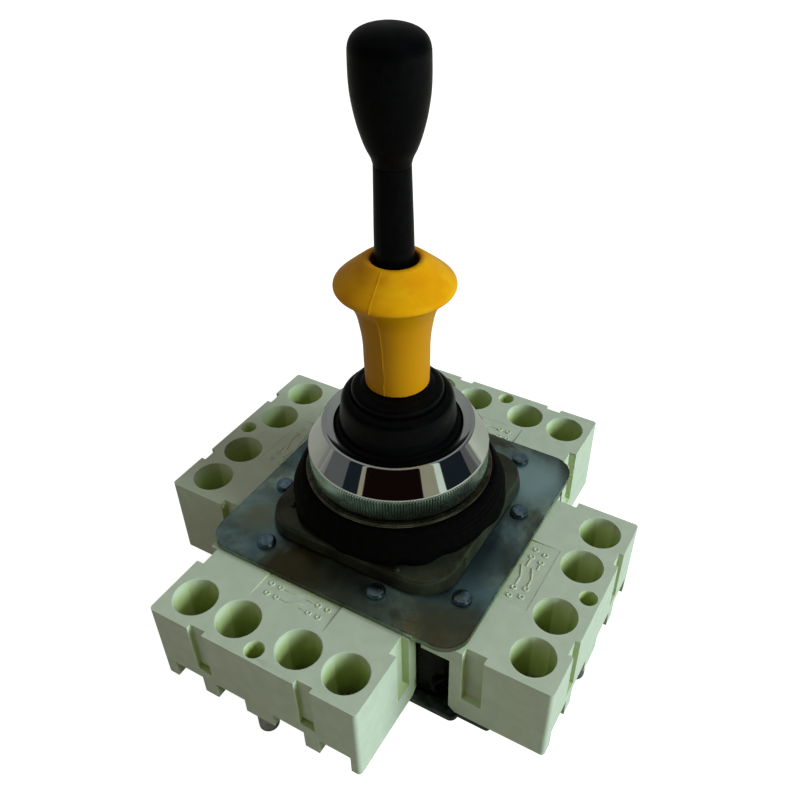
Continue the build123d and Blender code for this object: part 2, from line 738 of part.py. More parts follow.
# Interlock collar: trumpet foot, mushroom rim and a chamber for its spring
def collar_point(share, rise):
    """Place a point between the foot's and the rim's radius, at a share of the collar's height."""
    flare = collar_rim_radius - collar_foot_radius
    return (collar_foot_radius + share * flare, collar_foot + rise * collar_height)


foot_radius = collar_foot_radius - collar_foot_draft
neck = [collar_point(*place) for place in collar_neck]
rim = [collar_point(*place) for place in collar_rim]
chamber_top = spring_seat + spring_seat_thickness + collar_chamber_room
with BuildPart() as interlock_collar:
    with BuildSketch(Plane.XZ):
        with BuildLine():
            Spline((foot_radius, collar_foot), *neck, tangents=((0.02, 1), (0.55, 1)))
            ThreePointArc(neck[-1], *rim)
            Spline(
                rim[-1],
                collar_point(*collar_dome),
                (collar_bore + collar_top_flat, collar_top),
                tangents=((0, 1), (-1, 0.06)),
            )
            Polyline(
                (collar_bore + collar_top_flat, collar_top),
                (collar_bore, collar_top - collar_edge),
                (collar_bore, chamber_top),
                (collar_chamber, chamber_top - collar_chamber_cone),
                (collar_chamber, collar_foot),
                (foot_radius, collar_foot),
            )
        make_face()
    revolve(axis=Axis.Z)
save(interlock_collar, "interlock_collar")

# Latch sleeve: plug pressed into the collar's foot, tube through the boot, flange at the gate
with BuildPart() as latch_sleeve:
    with BuildSketch(Plane.XZ):
        with BuildLine():
            Polyline(
                (shaft_radius + running_gap, latch_bottom),
                (latch_flange, latch_bottom),
                (latch_flange, latch_bottom + latch_flange_thickness),
                (latch_radius, latch_bottom + latch_flange_thickness),
                (latch_radius, collar_foot),
                (collar_chamber, collar_foot),
                (collar_chamber, collar_foot + plug_height),
                (shaft_radius + running_gap, collar_foot + plug_height),
                close=True,
            )
        make_face()
    revolve(axis=Axis.Z)
save(latch_sleeve, "latch_sleeve")

# Latch gate: ring in the neck that the latch sleeve's flange drops into
with BuildPart() as latch_gate:
    with BuildSketch(Plane.XY.offset(gate_level)):
        Circle(boot_bore - running_gap)
        Circle(latch_gate_bore, mode=Mode.SUBTRACT)
    extrude(amount=latch_gate_thickness)
save(latch_gate, "latch_gate")

# Collar spring between the plug and the seat on the sleeve
collar_spring_foot = collar_foot + plug_height + stack_gap
collar_spring_length = spring_seat - stack_gap - collar_spring_foot
collar_spring_radius = (sleeve_foot_radius + collar_chamber) / 2
with BuildPart() as collar_spring:
    with BuildLine() as coil:
        Helix(
            pitch=(collar_spring_length - spring_wire) / collar_spring_turns,
            height=collar_spring_length - spring_wire,
            radius=collar_spring_radius,
            center=(0, 0, collar_spring_foot + spring_wire / 2),
        )
    with BuildSketch(Plane(origin=coil.line @ 0, z_dir=coil.line % 0)):
        Circle(spring_wire / 2)
    sweep(path=coil.line)
save(collar_spring, "collar_spring")

# Boot: a cuff held in the neck, a bulge over the nut's lip and rolled steps up to the collar
boot_top = collar_foot - free_gap
boot_hole = latch_radius + free_gap
lip_radius = nut_lip_radius - free_gap
lining_radius = lip_radius - boot_wall
bulge_level = nut_lip + boot_bulge_rise


def boot_point(inset, rise):
    """Place a point of the boot's steps by its shares of their reach and height."""
    return (lip_radius - inset * (lip_radius - boot_hole), boot_top + (rise - 1) * boot_steps_height)


shoulder = [boot_point(*place) for place in boot_shoulder]
middle = [boot_point(*place) for place in boot_middle_roll]
upper = [boot_point(*place) for place in boot_upper_roll]
lining = [boot_point(*place) for place in boot_lining]
with BuildPart() as rubber_boot:
    with BuildSketch(Plane.XZ):
        with BuildLine():
            Polyline(
                (lining_radius, boot_bottom),
                (boot_bore - stack_gap, boot_bottom),
                (boot_bore - stack_gap, neck_top),
                (lip_radius, neck_top),
                (lip_radius, nut_lip),
            )
            ThreePointArc((lip_radius, nut_lip), (lip_radius + boot_bulge, bulge_level), shoulder[0])
            Line(*shoulder)
            ThreePointArc(shoulder[1], *middle[:2])
            Line(*middle[1:])
            ThreePointArc(middle[2], *upper[:2])
            Line(*upper[1:])
            ThreePointArc(upper[2], boot_point(*boot_crown), (boot_hole, boot_top))
            Polyline(
                (boot_hole, boot_top), *lining, (lining_radius, bulge_level), (lining_radius, boot_bottom)
            )
        make_face()
    revolve(axis=Axis.Z)
save(rubber_boot, "rubber_boot")

# Plungers: round nose on the cam, guided stem, spring flange and the crossbar for the bridges
nose_face = cam_size / 2 + plunger_gap
flange_face = core_cavity / 2 + free_gap
carrier_place = (cavity_start + cavity_end) / 2
bridge_top = cam_level + plunger_radius
with BuildPart() as plunger:
    with BuildSketch(Plane.XZ.offset(nose_face + plunger_nose)):
        with Locations((0, cam_level)):
            Circle(plunger_nose)
    extrude(amount=flange_face - nose_face - plunger_nose)
    with Locations((0, -nose_face - plunger_nose, cam_level)):
        Sphere(plunger_nose)
    with BuildSketch(Plane.XZ.offset(flange_face)):
        with Locations((0, cam_level)):
            Circle(plunger_flange)
    extrude(amount=plunger_flange_thickness)
    with BuildSketch(Plane.XZ.offset(flange_face)):
        with Locations((0, cam_level)):
            Circle(plunger_radius)
    extrude(amount=carrier_place - flange_face)
    with BuildSketch(Plane.XZ.offset(carrier_place - carrier_thickness / 2)):
        with Locations((sum(contact_places) / 2, bridge_top + carrier_height / 2 - bridge_grip)):
            Rectangle(contact_places[1] - contact_places[0] + 2 * carrier_overhang, carrier_height)
    extrude(amount=carrier_thickness)
    # slots that grip the bridges
    with BuildSketch(Plane.XZ.offset(carrier_place - bridge_thickness / 2)):
        with Locations(*[(place, bridge_top - bridge_height / 2) for place in contact_places]):
            Rectangle(bridge_length, bridge_height)
    extrude(amount=bridge_thickness, mode=Mode.SUBTRACT)
save_on_sides(plunger, "plunger")

# Contact bridges: one brass strip for each pair of terminals, gripped by the crossbar
with BuildPart() as contact_bridges:
    with BuildSketch(Plane.XZ.offset(carrier_place - bridge_thickness / 2)):
        with Locations(*[(place, bridge_top - bridge_height / 2) for place in contact_places]):
            Rectangle(bridge_length, bridge_height)
    extrude(amount=bridge_thickness)
save_on_sides(contact_bridges, "contact_bridges")

# Plunger springs: around each stem, from the flange to the end of the pocket
plunger_spring_start = flange_face + plunger_flange_thickness + stack_gap
plunger_coil_radius = (plunger_radius + plunger_flange) / 2 + stack_gap
plunger_coil_length = plunger_spring_length - 2 * stack_gap - spring_wire
with BuildPart() as plunger_spring:
    with BuildLine() as coil:
        Helix(
            pitch=plunger_coil_length / plunger_spring_turns,
            height=plunger_coil_length,
            radius=plunger_coil_radius,
            center=(0, -plunger_spring_start - spring_wire / 2, cam_level),
            direction=(0, -1, 0),
        )
    with BuildSketch(Plane(origin=coil.line @ 0, z_dir=coil.line % 0)):
        Circle(spring_wire / 2)
    sweep(path=coil.line)
save_on_sides(plunger_spring, "plunger_spring")
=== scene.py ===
"""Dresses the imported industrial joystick: fine shapes, finishes, camera, light and floor.

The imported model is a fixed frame. Every piece here is built in the frame's own axes: +Z runs up the lever, the
front contact block points along -Y and the right one along +X. Sizes are in millimetres, and meshes in metres.
"""

import json
import logging
import math
from abc import ABC, abstractmethod
from dataclasses import dataclass, field
from enum import Enum
from typing import Callable, Sequence

import bmesh
import bpy
from mathutils import Matrix, Vector

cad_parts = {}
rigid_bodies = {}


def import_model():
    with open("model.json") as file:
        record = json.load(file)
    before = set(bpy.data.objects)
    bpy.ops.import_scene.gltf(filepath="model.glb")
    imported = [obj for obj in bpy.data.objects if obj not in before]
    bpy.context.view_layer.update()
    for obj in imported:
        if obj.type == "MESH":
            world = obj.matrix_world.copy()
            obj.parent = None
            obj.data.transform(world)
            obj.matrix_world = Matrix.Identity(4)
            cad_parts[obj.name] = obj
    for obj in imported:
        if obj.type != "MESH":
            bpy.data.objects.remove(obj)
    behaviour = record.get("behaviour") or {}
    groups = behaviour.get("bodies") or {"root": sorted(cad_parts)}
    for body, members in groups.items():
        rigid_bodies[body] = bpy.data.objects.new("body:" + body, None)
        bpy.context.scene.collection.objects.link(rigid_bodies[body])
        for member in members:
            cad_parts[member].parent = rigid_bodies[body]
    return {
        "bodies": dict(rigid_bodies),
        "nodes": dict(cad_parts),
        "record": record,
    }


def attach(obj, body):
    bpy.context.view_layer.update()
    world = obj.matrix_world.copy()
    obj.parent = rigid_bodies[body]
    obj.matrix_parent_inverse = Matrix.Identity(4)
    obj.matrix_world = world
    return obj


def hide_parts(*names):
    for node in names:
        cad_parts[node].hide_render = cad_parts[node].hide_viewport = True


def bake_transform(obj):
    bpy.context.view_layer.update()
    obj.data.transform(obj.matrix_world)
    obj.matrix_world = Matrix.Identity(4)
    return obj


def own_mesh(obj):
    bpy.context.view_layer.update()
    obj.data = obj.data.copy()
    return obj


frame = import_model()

log = logging.getLogger("joystick")

MM = 0.001
Point2 = tuple[float, float]
Point3 = tuple[float, float, float]
Rgb = tuple[float, float, float]
Tree = bpy.types.NodeTree
Socket = bpy.types.NodeSocket
Form = bmesh.types.BMesh
Thing = bpy.types.Object
Warp = Callable[[float, float, float], Point2]
EdgeTest = Callable[[Vector, Vector], bool]


def about_z(degrees: float) -> Matrix:
    """Gives a turn about the lever's axis."""
    return Matrix.Rotation(math.radians(degrees), 4, "Z")


class Side(Enum):
    """The four sides of the pinwheel, with how far each is turned from the front, in degrees."""

    FRONT = 0
    RIGHT = 90
    BACK = 180
    LEFT = 270

    @property
    def turn(self) -> Matrix:
        """The turn from the front to this side."""
        return about_z(self.value)


class Slot(Enum):
    """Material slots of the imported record."""

    IVORY = "ivory_plastic"
    ZINC = "zinc_steel"
    BLACK_MOULDING = "black_moulding"
    CASTING = "die_casting"
    CHROME = "chrome"
    RUBBER = "rubber"
    YELLOW = "yellow_plastic"
    BLACK = "black_plastic"
    STEEL = "bright_steel"
    BRASS = "brass"
    NYLON = "nylon"


# Shader building


def linear(colour: Rgb) -> Rgb:
    """Turns a colour as seen on screen, 0 to 255, into linear values."""
    return tuple(c / 12.92 if c <= 0.04045 else ((c + 0.055) / 1.055) ** 2.4 for c in (c / 255 for c in colour))


def opaque(colour: Rgb) -> tuple[float, float, float, float]:
    """Adds full alpha to a colour."""
    return (*colour, 1.0)


def put(tree: Tree, kind: str, inputs: dict | None = None, **settings: object) -> bpy.types.Node:
    """Adds a shader node, sets its properties and fills its inputs.

    Args:
        tree: The node tree that gets the node.
        kind: The node's type name without "ShaderNode".
        inputs: Input name or number to a value, or to a socket that is linked in.
        **settings: Properties of the node.

    Returns:
        The new node.
    """
    node = tree.nodes.new("ShaderNode" + kind)
    for name, value in settings.items():
        setattr(node, name, value)
    for key, value in (inputs or {}).items():
        if isinstance(value, Socket):
            tree.links.new(value, node.inputs[key])
        else:
            node.inputs[key].default_value = value
    return node


def object_place(tree: Tree) -> Socket:
    """Gives the place on the object, in its own axes."""
    return put(tree, "TexCoord").outputs["Object"]


def blend_colour(tree: Tree, factor: float | Socket, first: Rgb | Socket, second: Rgb | Socket) -> Socket:
    """Mixes two linear colours by a factor from 0 to 1."""
    ends = {key: value if isinstance(value, Socket) else opaque(value) for key, value in ((6, first), (7, second))}
    return put(tree, "Mix", {"Factor": factor, **ends}, data_type="RGBA").outputs[2]


def maths(tree: Tree, operation: str, *values: float | Socket, clamp: bool = False) -> Socket:
    """Works out a Math node's operation on one to three values."""
    return put(tree, "Math", dict(enumerate(values)), operation=operation, use_clamp=clamp).outputs[0]


def spread(tree: Tree, value: Socket, low: float | Socket, high: float | Socket, start: float = 0.0,
           end: float = 1.0) -> Socket:
    """Maps low..high to start..end with soft ends."""
    return put(tree, "MapRange", {"Value": value, "From Min": low, "From Max": high, "To Min": start, "To Max": end},
               interpolation_type="SMOOTHSTEP").outputs[0]


def fresh_tree(owner: bpy.types.Material | bpy.types.World) -> Tree:
    """Gives the node tree of a material or world, emptied."""
    owner.use_nodes = True
    owner.node_tree.nodes.clear()
    return owner.node_tree


class Effects:
    """Shader node groups that several finishes share, each built once."""

    def __init__(self) -> None:
        """Builds every group."""
        self.grain = self._grain()
        self.stain = self._stain()
        self.wear = self._wear()
        self.hollow = self._hollow()
        self.brush = self._brush()

    @staticmethod
    def _start(name: str, inputs: dict[str, float], outputs: Sequence[str]) -> tuple:
        """Opens a node group.

        Args:
            name: The group's name.
            inputs: Input name to default value.
            outputs: Output names.

        Returns:
            The tree, what it is given and what it has to fill.
        """
        tree = bpy.data.node_groups.new(name, "ShaderNodeTree")
        for key, value in inputs.items():
            tree.interface.new_socket(key, in_out="INPUT", socket_type="NodeSocketFloat").default_value = value
        for key in outputs:
            tree.interface.new_socket(key, in_out="OUTPUT", socket_type="NodeSocketFloat")
        return tree, tree.nodes.new("NodeGroupInput").outputs, tree.nodes.new("NodeGroupOutput").inputs

    @classmethod
    def _grain(cls) -> Tree:
        """Fine even texture: a shade that varies slowly and a height that varies finely."""
        tree, given, wanted = cls._start("grain", {"Scale": 600.0}, ("Shade", "Height"))
        place = object_place(tree)
        slow = put(tree, "TexNoise", {"Vector": place, "Scale": given["Scale"], "Detail": 3.0, "Roughness": 0.6})
        finer = maths(tree, "MULTIPLY", given["Scale"], 5.0)
        fine = put(tree, "TexNoise", {"Vector": place, "Scale": finer, "Detail": 2.0})
        tree.links.new(slow.outputs["Fac"], wanted["Shade"])
        tree.links.new(fine.outputs["Fac"], wanted["Height"])
        return tree

    @classmethod
    def _stain(cls) -> Tree:
        """Large cloudy patches with drifting edges."""
        tree, given, wanted = cls._start("stain", {"Scale": 60.0, "Cover": 0.5, "Softness": 0.15, "Seed": 0.0},
                                         ("Mask",))
        noise = put(tree, "TexNoise", {"Vector": object_place(tree), "W": given["Seed"], "Scale": given["Scale"],
                                       "Detail": 5.0, "Roughness": 0.6, "Distortion": 0.8}, noise_dimensions="4D")
        level = maths(tree, "SUBTRACT", 1.0, given["Cover"])
        low = maths(tree, "SUBTRACT", level, given["Softness"])
        high = maths(tree, "ADD", level, given["Softness"])
        # noise stays near its middle, so it is spread to the whole range first
        wide = maths(tree, "MULTIPLY_ADD", noise.outputs["Fac"], 2.2, -0.6)
        tree.links.new(spread(tree, wide, low, high), wanted["Mask"])
        return tree

    @classmethod
    def _wear(cls) -> Tree:
        """Edges where the surface turns within a small radius, broken up by noise: wear on some finishes and painted
        highlight on others.
        """
        tree, given, wanted = cls._start("wear", {"Radius": 0.4 * MM, "Amount": 0.6}, ("Mask",))
        round_normal = put(tree, "Bevel", {"Radius": given["Radius"]}, samples=4)
        flat = put(tree, "NewGeometry").outputs["Normal"]
        turn = put(tree, "VectorMath", {0: round_normal.outputs[0], 1: flat}, operation="DOT_PRODUCT")
        edge = spread(tree, turn.outputs["Value"], 0.985, 0.80)
        noise = put(tree, "TexNoise", {"Vector": object_place(tree), "Scale": 400.0, "Detail": 4.0})
        mask = maths(tree, "MULTIPLY", edge, spread(tree, noise.outputs["Fac"], 0.35, 0.6))
        tree.links.new(maths(tree, "MULTIPLY", mask, given["Amount"], clamp=True), wanted["Mask"])
        return tree

    @classmethod
    def _hollow(cls) -> Tree:
        """How enclosed a place is: 0 in the open and 1 far inside a hole or corner, where shade is painted in."""
        tree, given, wanted = cls._start("hollow", {"Distance": 6 * MM}, ("Mask",))
        open_sky = put(tree, "AmbientOcclusion", {"Distance": given["Distance"]}, samples=8)
        closed = maths(tree, "SUBTRACT", 1.0, open_sky.outputs["AO"])
        tree.links.new(spread(tree, closed, 0.2, 0.95), wanted["Mask"])
        return tree

    @classmethod
    def _brush(cls) -> Tree:
        """Fine lines that run one way, from rolling, turning or wiping."""
        names = ("Across X", "Across Y", "Across Z")
        tree, given, wanted = cls._start("brush", dict.fromkeys(names, 1.0), ("Height",))
        stretch = put(tree, "CombineXYZ", {number: given[name] for number, name in enumerate(names)})
        moved = put(tree, "VectorMath", {0: object_place(tree), 1: stretch.outputs[0]}, operation="MULTIPLY")
        lines = put(tree, "TexNoise", {"Vector": moved.outputs[0], "Scale": 1500.0, "Detail": 3.0, "Roughness": 0.7})
        tree.links.new(lines.outputs["Fac"], wanted["Height"])
        return tree


@dataclass(frozen=True)
class Stain:
    """Cloudy patches of a colour; a larger scale makes smaller ones."""

    colour: Rgb
    scale: float = 60.0
    cover: float = 0.4
    softness: float = 0.2


@dataclass(frozen=True)
class Finish:
    """A surface finish: base colour with grain, stains, painted light patches, painted shade and tinted edges.

    Colours are as seen on screen, 0 to 255. Patches are x, y, reach and colour, at patch_level: painted shade and
    painted reflection placed by position. The painted shade below comes in from the first of its levels down to the
    second. Edges are tinted by wear on some finishes and by painted highlight on others. An effect whose colour is
    None is left out.
    """

    name: str
    slot: Slot
    colour: Rgb
    mottle: Rgb
    roughness: Point2 = (0.4, 0.55)
    metallic: float = 0.0
    specular: float = 0.5
    grain_scale: float = 500.0
    grain_bump: float = 0.02
    stains: tuple[Stain, ...] = ()
    # painted shade and painted reflection: soft round patches placed by position
    patches: tuple[tuple[float, float, float, Rgb], ...] = ()
    patch_level: float = 24.7
    # painted shade: darker towards the bottom, between two levels
    painted_shade_below: Rgb | None = None
    painted_shade_levels: Point2 = (0.0, 0.0)
    # painted shade: a colour laid into hollows, grooves and corners
    hollow: Rgb | None = None
    painted_shade_reach: float = 6.0
    # edge tint: the lighter edges of ivory and rivets are painted highlight
    edge_wear_and_highlight: Rgb | None = None
    edge_wear_and_highlight_radius: float = 0.4
    edge_wear_and_highlight_amount: float = 0.5
    brushed: Point3 | None = None
    brush_bump: float = 0.05

    def build(self, effects: Effects) -> bpy.types.Material:
        """Makes the material.

        Args:
            effects: The shared node groups.

        Returns:
            The new material.
        """
        material = bpy.data.materials.new(self.name)
        tree = fresh_tree(material)
        grain = put(tree, "Group", {"Scale": self.grain_scale}, node_tree=effects.grain)
        # noise stays near its middle, which is what it is read over
        middle = (0.3, 0.7)
        shade = spread(tree, grain.outputs["Shade"], *middle)
        colour = blend_colour(tree, shade, linear(self.colour), linear(self.mottle))
        rough = spread(tree, grain.outputs["Shade"], *middle, *self.roughness)
        height, strength = grain.outputs["Height"], self.grain_bump
        if self.brushed:
            across = dict(zip(("Across X", "Across Y", "Across Z"), self.brushed))
            height = put(tree, "Group", across, node_tree=effects.brush).outputs["Height"]
            strength = self.brush_bump
        bump = put(tree, "Bump", {"Height": height, "Strength": strength, "Distance": 0.1 * MM})
        shader = put(tree, "BsdfPrincipled", {"Base Color": self.overlay(tree, effects, colour), "Roughness": rough,
                                              "Metallic": self.metallic, "Specular IOR Level": self.specular,
                                              "Normal": bump.outputs[0]})
        put(tree, "OutputMaterial", {"Surface": shader.outputs[0]})
        return material

    def overlay(self, tree: Tree, effects: Effects, colour: Socket) -> Socket:
        """Lays stains, painted light patches, the painted shade below, painted shade in hollows and tinted edges over
        the base.

        Args:
            tree: The material's tree.
            effects: The shared node groups.
            colour: The base colour's socket.

        Returns:
            The new colour's socket.
        """
        def lay(mask: Socket, tint: Rgb) -> None:
            """Lays a tint over the colour so far."""
            nonlocal colour
            colour = blend_colour(tree, mask, colour, linear(tint))

        def group(kind: Tree, **inputs: float) -> Socket:
            """Gives the mask of a shared group."""
            return put(tree, "Group", inputs, node_tree=kind).outputs["Mask"]

        for number, stain in enumerate(self.stains):
            lay(group(effects.stain, Scale=stain.scale, Cover=stain.cover, Softness=stain.softness,
                      Seed=7.0 * number), stain.colour)
        # painted shade and painted reflection, each a soft round patch at a place
        for x, y, reach, tint in self.patches:
            middle = (x * MM, y * MM, self.patch_level * MM)
            away = put(tree, "VectorMath", {0: object_place(tree), 1: middle}, operation="DISTANCE").outputs["Value"]
            full, strength = 0.25 * reach, 0.8
            lay(spread(tree, away, reach * MM, full * MM, 0.0, strength), tint)
        # painted shade: the colour darkens from the first level down to the second
        if self.painted_shade_below:
            place = put(tree, "SeparateXYZ", {0: object_place(tree)})
            lay(spread(tree, place.outputs[2], *(level * MM for level in self.painted_shade_levels)), self.painted_shade_below)
        # painted shade in holes, grooves and corners
        if self.hollow:
            lay(group(effects.hollow, Distance=self.painted_shade_reach * MM), self.hollow)
        # tinted edges, painted highlight where they are lighter
        if self.edge_wear_and_highlight:
            lay(group(effects.wear, Radius=self.edge_wear_and_highlight_radius * MM, Amount=self.edge_wear_and_highlight_amount), self.edge_wear_and_highlight)
        return colour


# painted shade: bores and corners turn yellow-green; painted highlight: the edges are lighter
IVORY = Finish("ivory_moulding", Slot.IVORY, (188, 197, 180), (181, 191, 173), roughness=(0.38, 0.5), grain_scale=350,
               grain_bump=0.06, hollow=(186, 204, 116), painted_shade_reach=9.0, edge_wear_and_highlight=(206, 216, 196))
# the plate's patches are painted shade and painted reflection
PLATE = Finish("zinc_plate", Slot.ZINC, (176, 198, 188), (120, 138, 128), roughness=(0.24, 0.4), metallic=0.88,
               grain_scale=160, stains=(Stain((102, 134, 148), 48, 0.5, 0.3), Stain((70, 64, 42), 64, 0.42, 0.3)),
               patches=((0.0, -27.0, 13.0, (66, 62, 42)), (25.0, -25.0, 12.0, (92, 94, 74)),
                        (22.0, -6.0, 9.0, (74, 90, 92)), (21.0, 19.0, 10.0, (178, 212, 216)),
                        (-22.0, -18.0, 6.0, (134, 140, 116))),
               edge_wear_and_highlight=(24, 19, 12), edge_wear_and_highlight_radius=0.5, edge_wear_and_highlight_amount=1.0, brushed=(1.0, 14.0, 1.0), brush_bump=0.04)
BARE = Finish("bare_zinc", Slot.ZINC, (200, 212, 208), (168, 182, 178), roughness=(0.35, 0.5), metallic=0.4,
              grain_scale=300)
# dark zinc with black clouds and near-black edges
DARK_ZINC = Finish("oiled_zinc", Slot.ZINC, (74, 82, 76), (34, 38, 36), roughness=(0.3, 0.45), metallic=0.6,
               grain_scale=420, stains=(Stain((10, 11, 10), 110, 0.5),), edge_wear_and_highlight=(12, 13, 12), edge_wear_and_highlight_radius=0.6,
               edge_wear_and_highlight_amount=1.0)
# painted highlight: light bluish edges
RIVET = Finish("rivet_steel", Slot.STEEL, (136, 160, 176), (108, 130, 146), roughness=(0.22, 0.35), metallic=1.0,
               grain_scale=900, edge_wear_and_highlight=(196, 212, 220), edge_wear_and_highlight_radius=0.25)
STEEL = Finish("plain_steel", Slot.STEEL, (150, 152, 150), (124, 126, 124), roughness=(0.25, 0.4), metallic=1.0,
               grain_scale=700)
CASTING = Finish("olive_casting", Slot.CASTING, (66, 70, 55), (50, 54, 41), roughness=(0.26, 0.38), metallic=0.55,
                 grain_scale=260, grain_bump=0.12, stains=(Stain((38, 36, 25), 70),))
# painted highlight: a lighter copy of the casting for its rims
CAST_RIM_HIGHLIGHT = Finish("rubbed_casting", Slot.CASTING, (178, 186, 168), (124, 130, 114), roughness=(0.28, 0.4),
                   metallic=0.6, grain_scale=500, stains=(Stain((60, 62, 50), 150),))
CHROME = Finish("chrome", Slot.CHROME, (226, 230, 228), (214, 220, 218), roughness=(0.03, 0.06), metallic=1.0,
                grain_scale=120, grain_bump=0.004)
# painted shade: dark in the knurl's grooves
KNURL = Finish("knurled_chrome", Slot.CHROME, (188, 202, 198), (150, 164, 160), roughness=(0.18, 0.28), metallic=1.0,
               grain_scale=400, hollow=(22, 26, 25), painted_shade_reach=0.6)
LIP = Finish("satin_chrome", Slot.CHROME, (196, 204, 200), (184, 192, 188), roughness=(0.14, 0.22), metallic=0.85,
             grain_scale=300)
WASHER = Finish("washer_steel", Slot.STEEL, (112, 108, 92), (70, 66, 52), roughness=(0.2, 0.35), metallic=1.0,
                grain_scale=300)
GASKET = Finish("gasket_rubber", Slot.RUBBER, (6, 6, 5), (4, 4, 4), roughness=(0.5, 0.65), specular=0.04,
                grain_scale=700, grain_bump=0.12, stains=(Stain((12, 11, 9), cover=0.25),))
BOOT = Finish("boot_rubber", Slot.RUBBER, (5, 5, 6), (3, 3, 4), roughness=(0.2, 0.3), specular=0.07, grain_bump=0.06)
# painted shade: the neck darkens below the rim and in its hollows
AMBER = Finish("amber_moulding", Slot.YELLOW, (221, 158, 6), (213, 147, 4), roughness=(0.34, 0.46), specular=0.16,
               grain_scale=220, grain_bump=0.05, stains=(Stain((208, 136, 4), 80, 0.3),), painted_shade_below=(184, 124, 2),
               painted_shade_levels=(75.6, 70.5), hollow=(128, 68, 2), painted_shade_reach=15.0)
GRIP = Finish("grip_plastic", Slot.BLACK, (6, 6, 7), (3, 3, 4), roughness=(0.26, 0.36), specular=0.05,
              grain_scale=600, grain_bump=0.05)
CORE = Finish("core_moulding", Slot.BLACK_MOULDING, (5, 6, 6), (3, 4, 4), roughness=(0.22, 0.36), specular=0.04,
              grain_scale=300, grain_bump=0.1, stains=(Stain((24, 28, 27), 200, 0.2),))
BRASS = Finish("contact_brass", Slot.BRASS, (190, 156, 84), (166, 132, 66), roughness=(0.25, 0.4), metallic=1.0)
NYLON = Finish("white_nylon", Slot.NYLON, (214, 212, 200), (200, 198, 184), roughness=(0.4, 0.5))

NODE_FINISH: dict[str, Finish] = {
    "base_plate": PLATE, "top_plate": PLATE, "block_rivets": RIVET, "core_housing": CORE,
    "contact_block": IVORY, "fixed_contacts": BRASS, "contact_bridges": BRASS, "terminal": STEEL,
    "block_screws": STEEL, "head_body": CASTING, "head_screws": STEEL, "panel_gasket": GASKET,
    "clamp_washer": WASHER, "ring_nut": CHROME, "gimbal": STEEL, "lever_hub": NYLON, "lever_shaft": STEEL,
    "stick_sleeve": GRIP, "knob": GRIP, "cam_block": NYLON, "cam_screw": STEEL, "interlock_collar": AMBER,
    "latch": STEEL, "collar_spring": STEEL, "rubber_boot": BOOT, "plunger_spring": STEEL, "plunger": NYLON,
}


class Wardrobe:
    """Builds each finish once and puts it on pieces and nodes."""

    def __init__(self) -> None:
        """Builds the shared effects."""
        self.effects = Effects()
        self.made: dict[str, bpy.types.Material] = {}

    def material(self, finish: Finish) -> bpy.types.Material:
        """Gives the material of a finish, made on first use."""
        if finish.name not in self.made:
            self.made[finish.name] = finish.build(self.effects)
        return self.made[finish.name]

    def dress(self, piece: Thing, *finishes: Finish) -> None:
        """Puts finishes in a piece's material slots.

        Args:
            piece: The object.
            *finishes: One finish for each material number of its faces.
        """
        piece.data.materials.clear()
        for finish in finishes:
            piece.data.materials.append(self.material(finish))

    def dress_nodes(self) -> None:
        """Gives every CAD node its finish, by the longest name that it starts with."""
        for name, node in frame["nodes"].items():
            key = max((k for k in NODE_FINISH if name.startswith(k)), key=len)
            self.dress(node, NODE_FINISH[key])


# Forms


def near(value: float, target: float, slack: float = 0.02) -> bool:
    """Whether a value is at a target."""
    return abs(value - target) < slack


def polar(radius: float, angle: float, height: float) -> Vector:
    """Gives the place at a radius, an angle in radians and a height."""
    return Vector((radius * math.cos(angle), radius * math.sin(angle), height))


def even_angles(count: int) -> list[float]:
    """Divides a turn evenly."""
    return [math.tau * step / count for step in range(count)]


def swell(value: float, middle: float, reach: float) -> float:
    """A smooth bump: 1 at its middle and 0 from its reach on."""
    share = abs(value - middle) / reach
    return 0.5 + 0.5 * math.cos(math.pi * share) if share < 1 else 0.0


def flowing(points: Sequence[Point2], steps: int = 5) -> list[Point2]:
    """Runs a smooth curve through points.

    Args:
        points: Places of radius and height.
        steps: Divisions between two points.

    Returns:
        The curve's places, both ends included.
    """
    chain = [points[0], *points, points[-1]]
    curve = []
    for before, start, end, after in zip(chain, chain[1:], chain[2:], chain[3:]):
        for step in range(steps):
            t = step / steps
            curve.append(tuple(0.5 * (2 * s + (e - b) * t + (2 * b - 5 * s + 4 * e - a) * t * t
                                      + (3 * s - b - 3 * e + a) * t ** 3)
                               for b, s, e, a in zip(before, start, end, after)))
    return [*curve, points[-1]]


def skin(form: Form, rings: Sequence[Sequence[Vector]], closed: bool = False, bands: Sequence[int] = ()) -> None:
    """Covers rings of equal count with faces.

    Args:
        form: The mesh that gets the faces.
        rings: Each ring's places, in order.
        closed: Whether the last ring joins the first.
        bands: Material number of each strip between two rings.
    """
    rows = [[form.verts.new(place * MM) for place in ring] for ring in rings]
    for number, (low, high) in enumerate(zip(rows, rows[1:] + rows[:1] if closed else rows[1:])):
        for here in range(len(low)):
            there = (here + 1) % len(low)
            face = form.faces.new((low[here], low[there], high[there], high[here]))
            face.material_index = bands[number] if bands else 0


@dataclass
class Lathe:
    """A turned form: an outline of radius and height, swept round the lever's axis."""

    outline: Sequence[Point2]
    angles: Sequence[float] = field(default_factory=lambda: even_angles(96))
    warp: Warp | None = None
    closed: bool = True
    bands: Sequence[int] = ()

    def cut(self, form: Form | None = None, where: Matrix = Matrix.Identity(4)) -> Form:
        """Adds the form to a mesh.

        Args:
            form: The mesh that gets it, or None for a new one.
            where: Turns and moves it.

        Returns:
            The mesh.
        """
        form = bmesh.new() if form is None else form
        rings = []
        for radius, height in self.outline:
            ring = []
            for angle in self.angles:
                out, up = self.warp(angle, radius, height) if self.warp else (0.0, 0.0)
                ring.append(where @ polar(radius + out, angle, height + up))
            rings.append(ring)
        skin(form, rings, self.closed, self.bands)
        return form


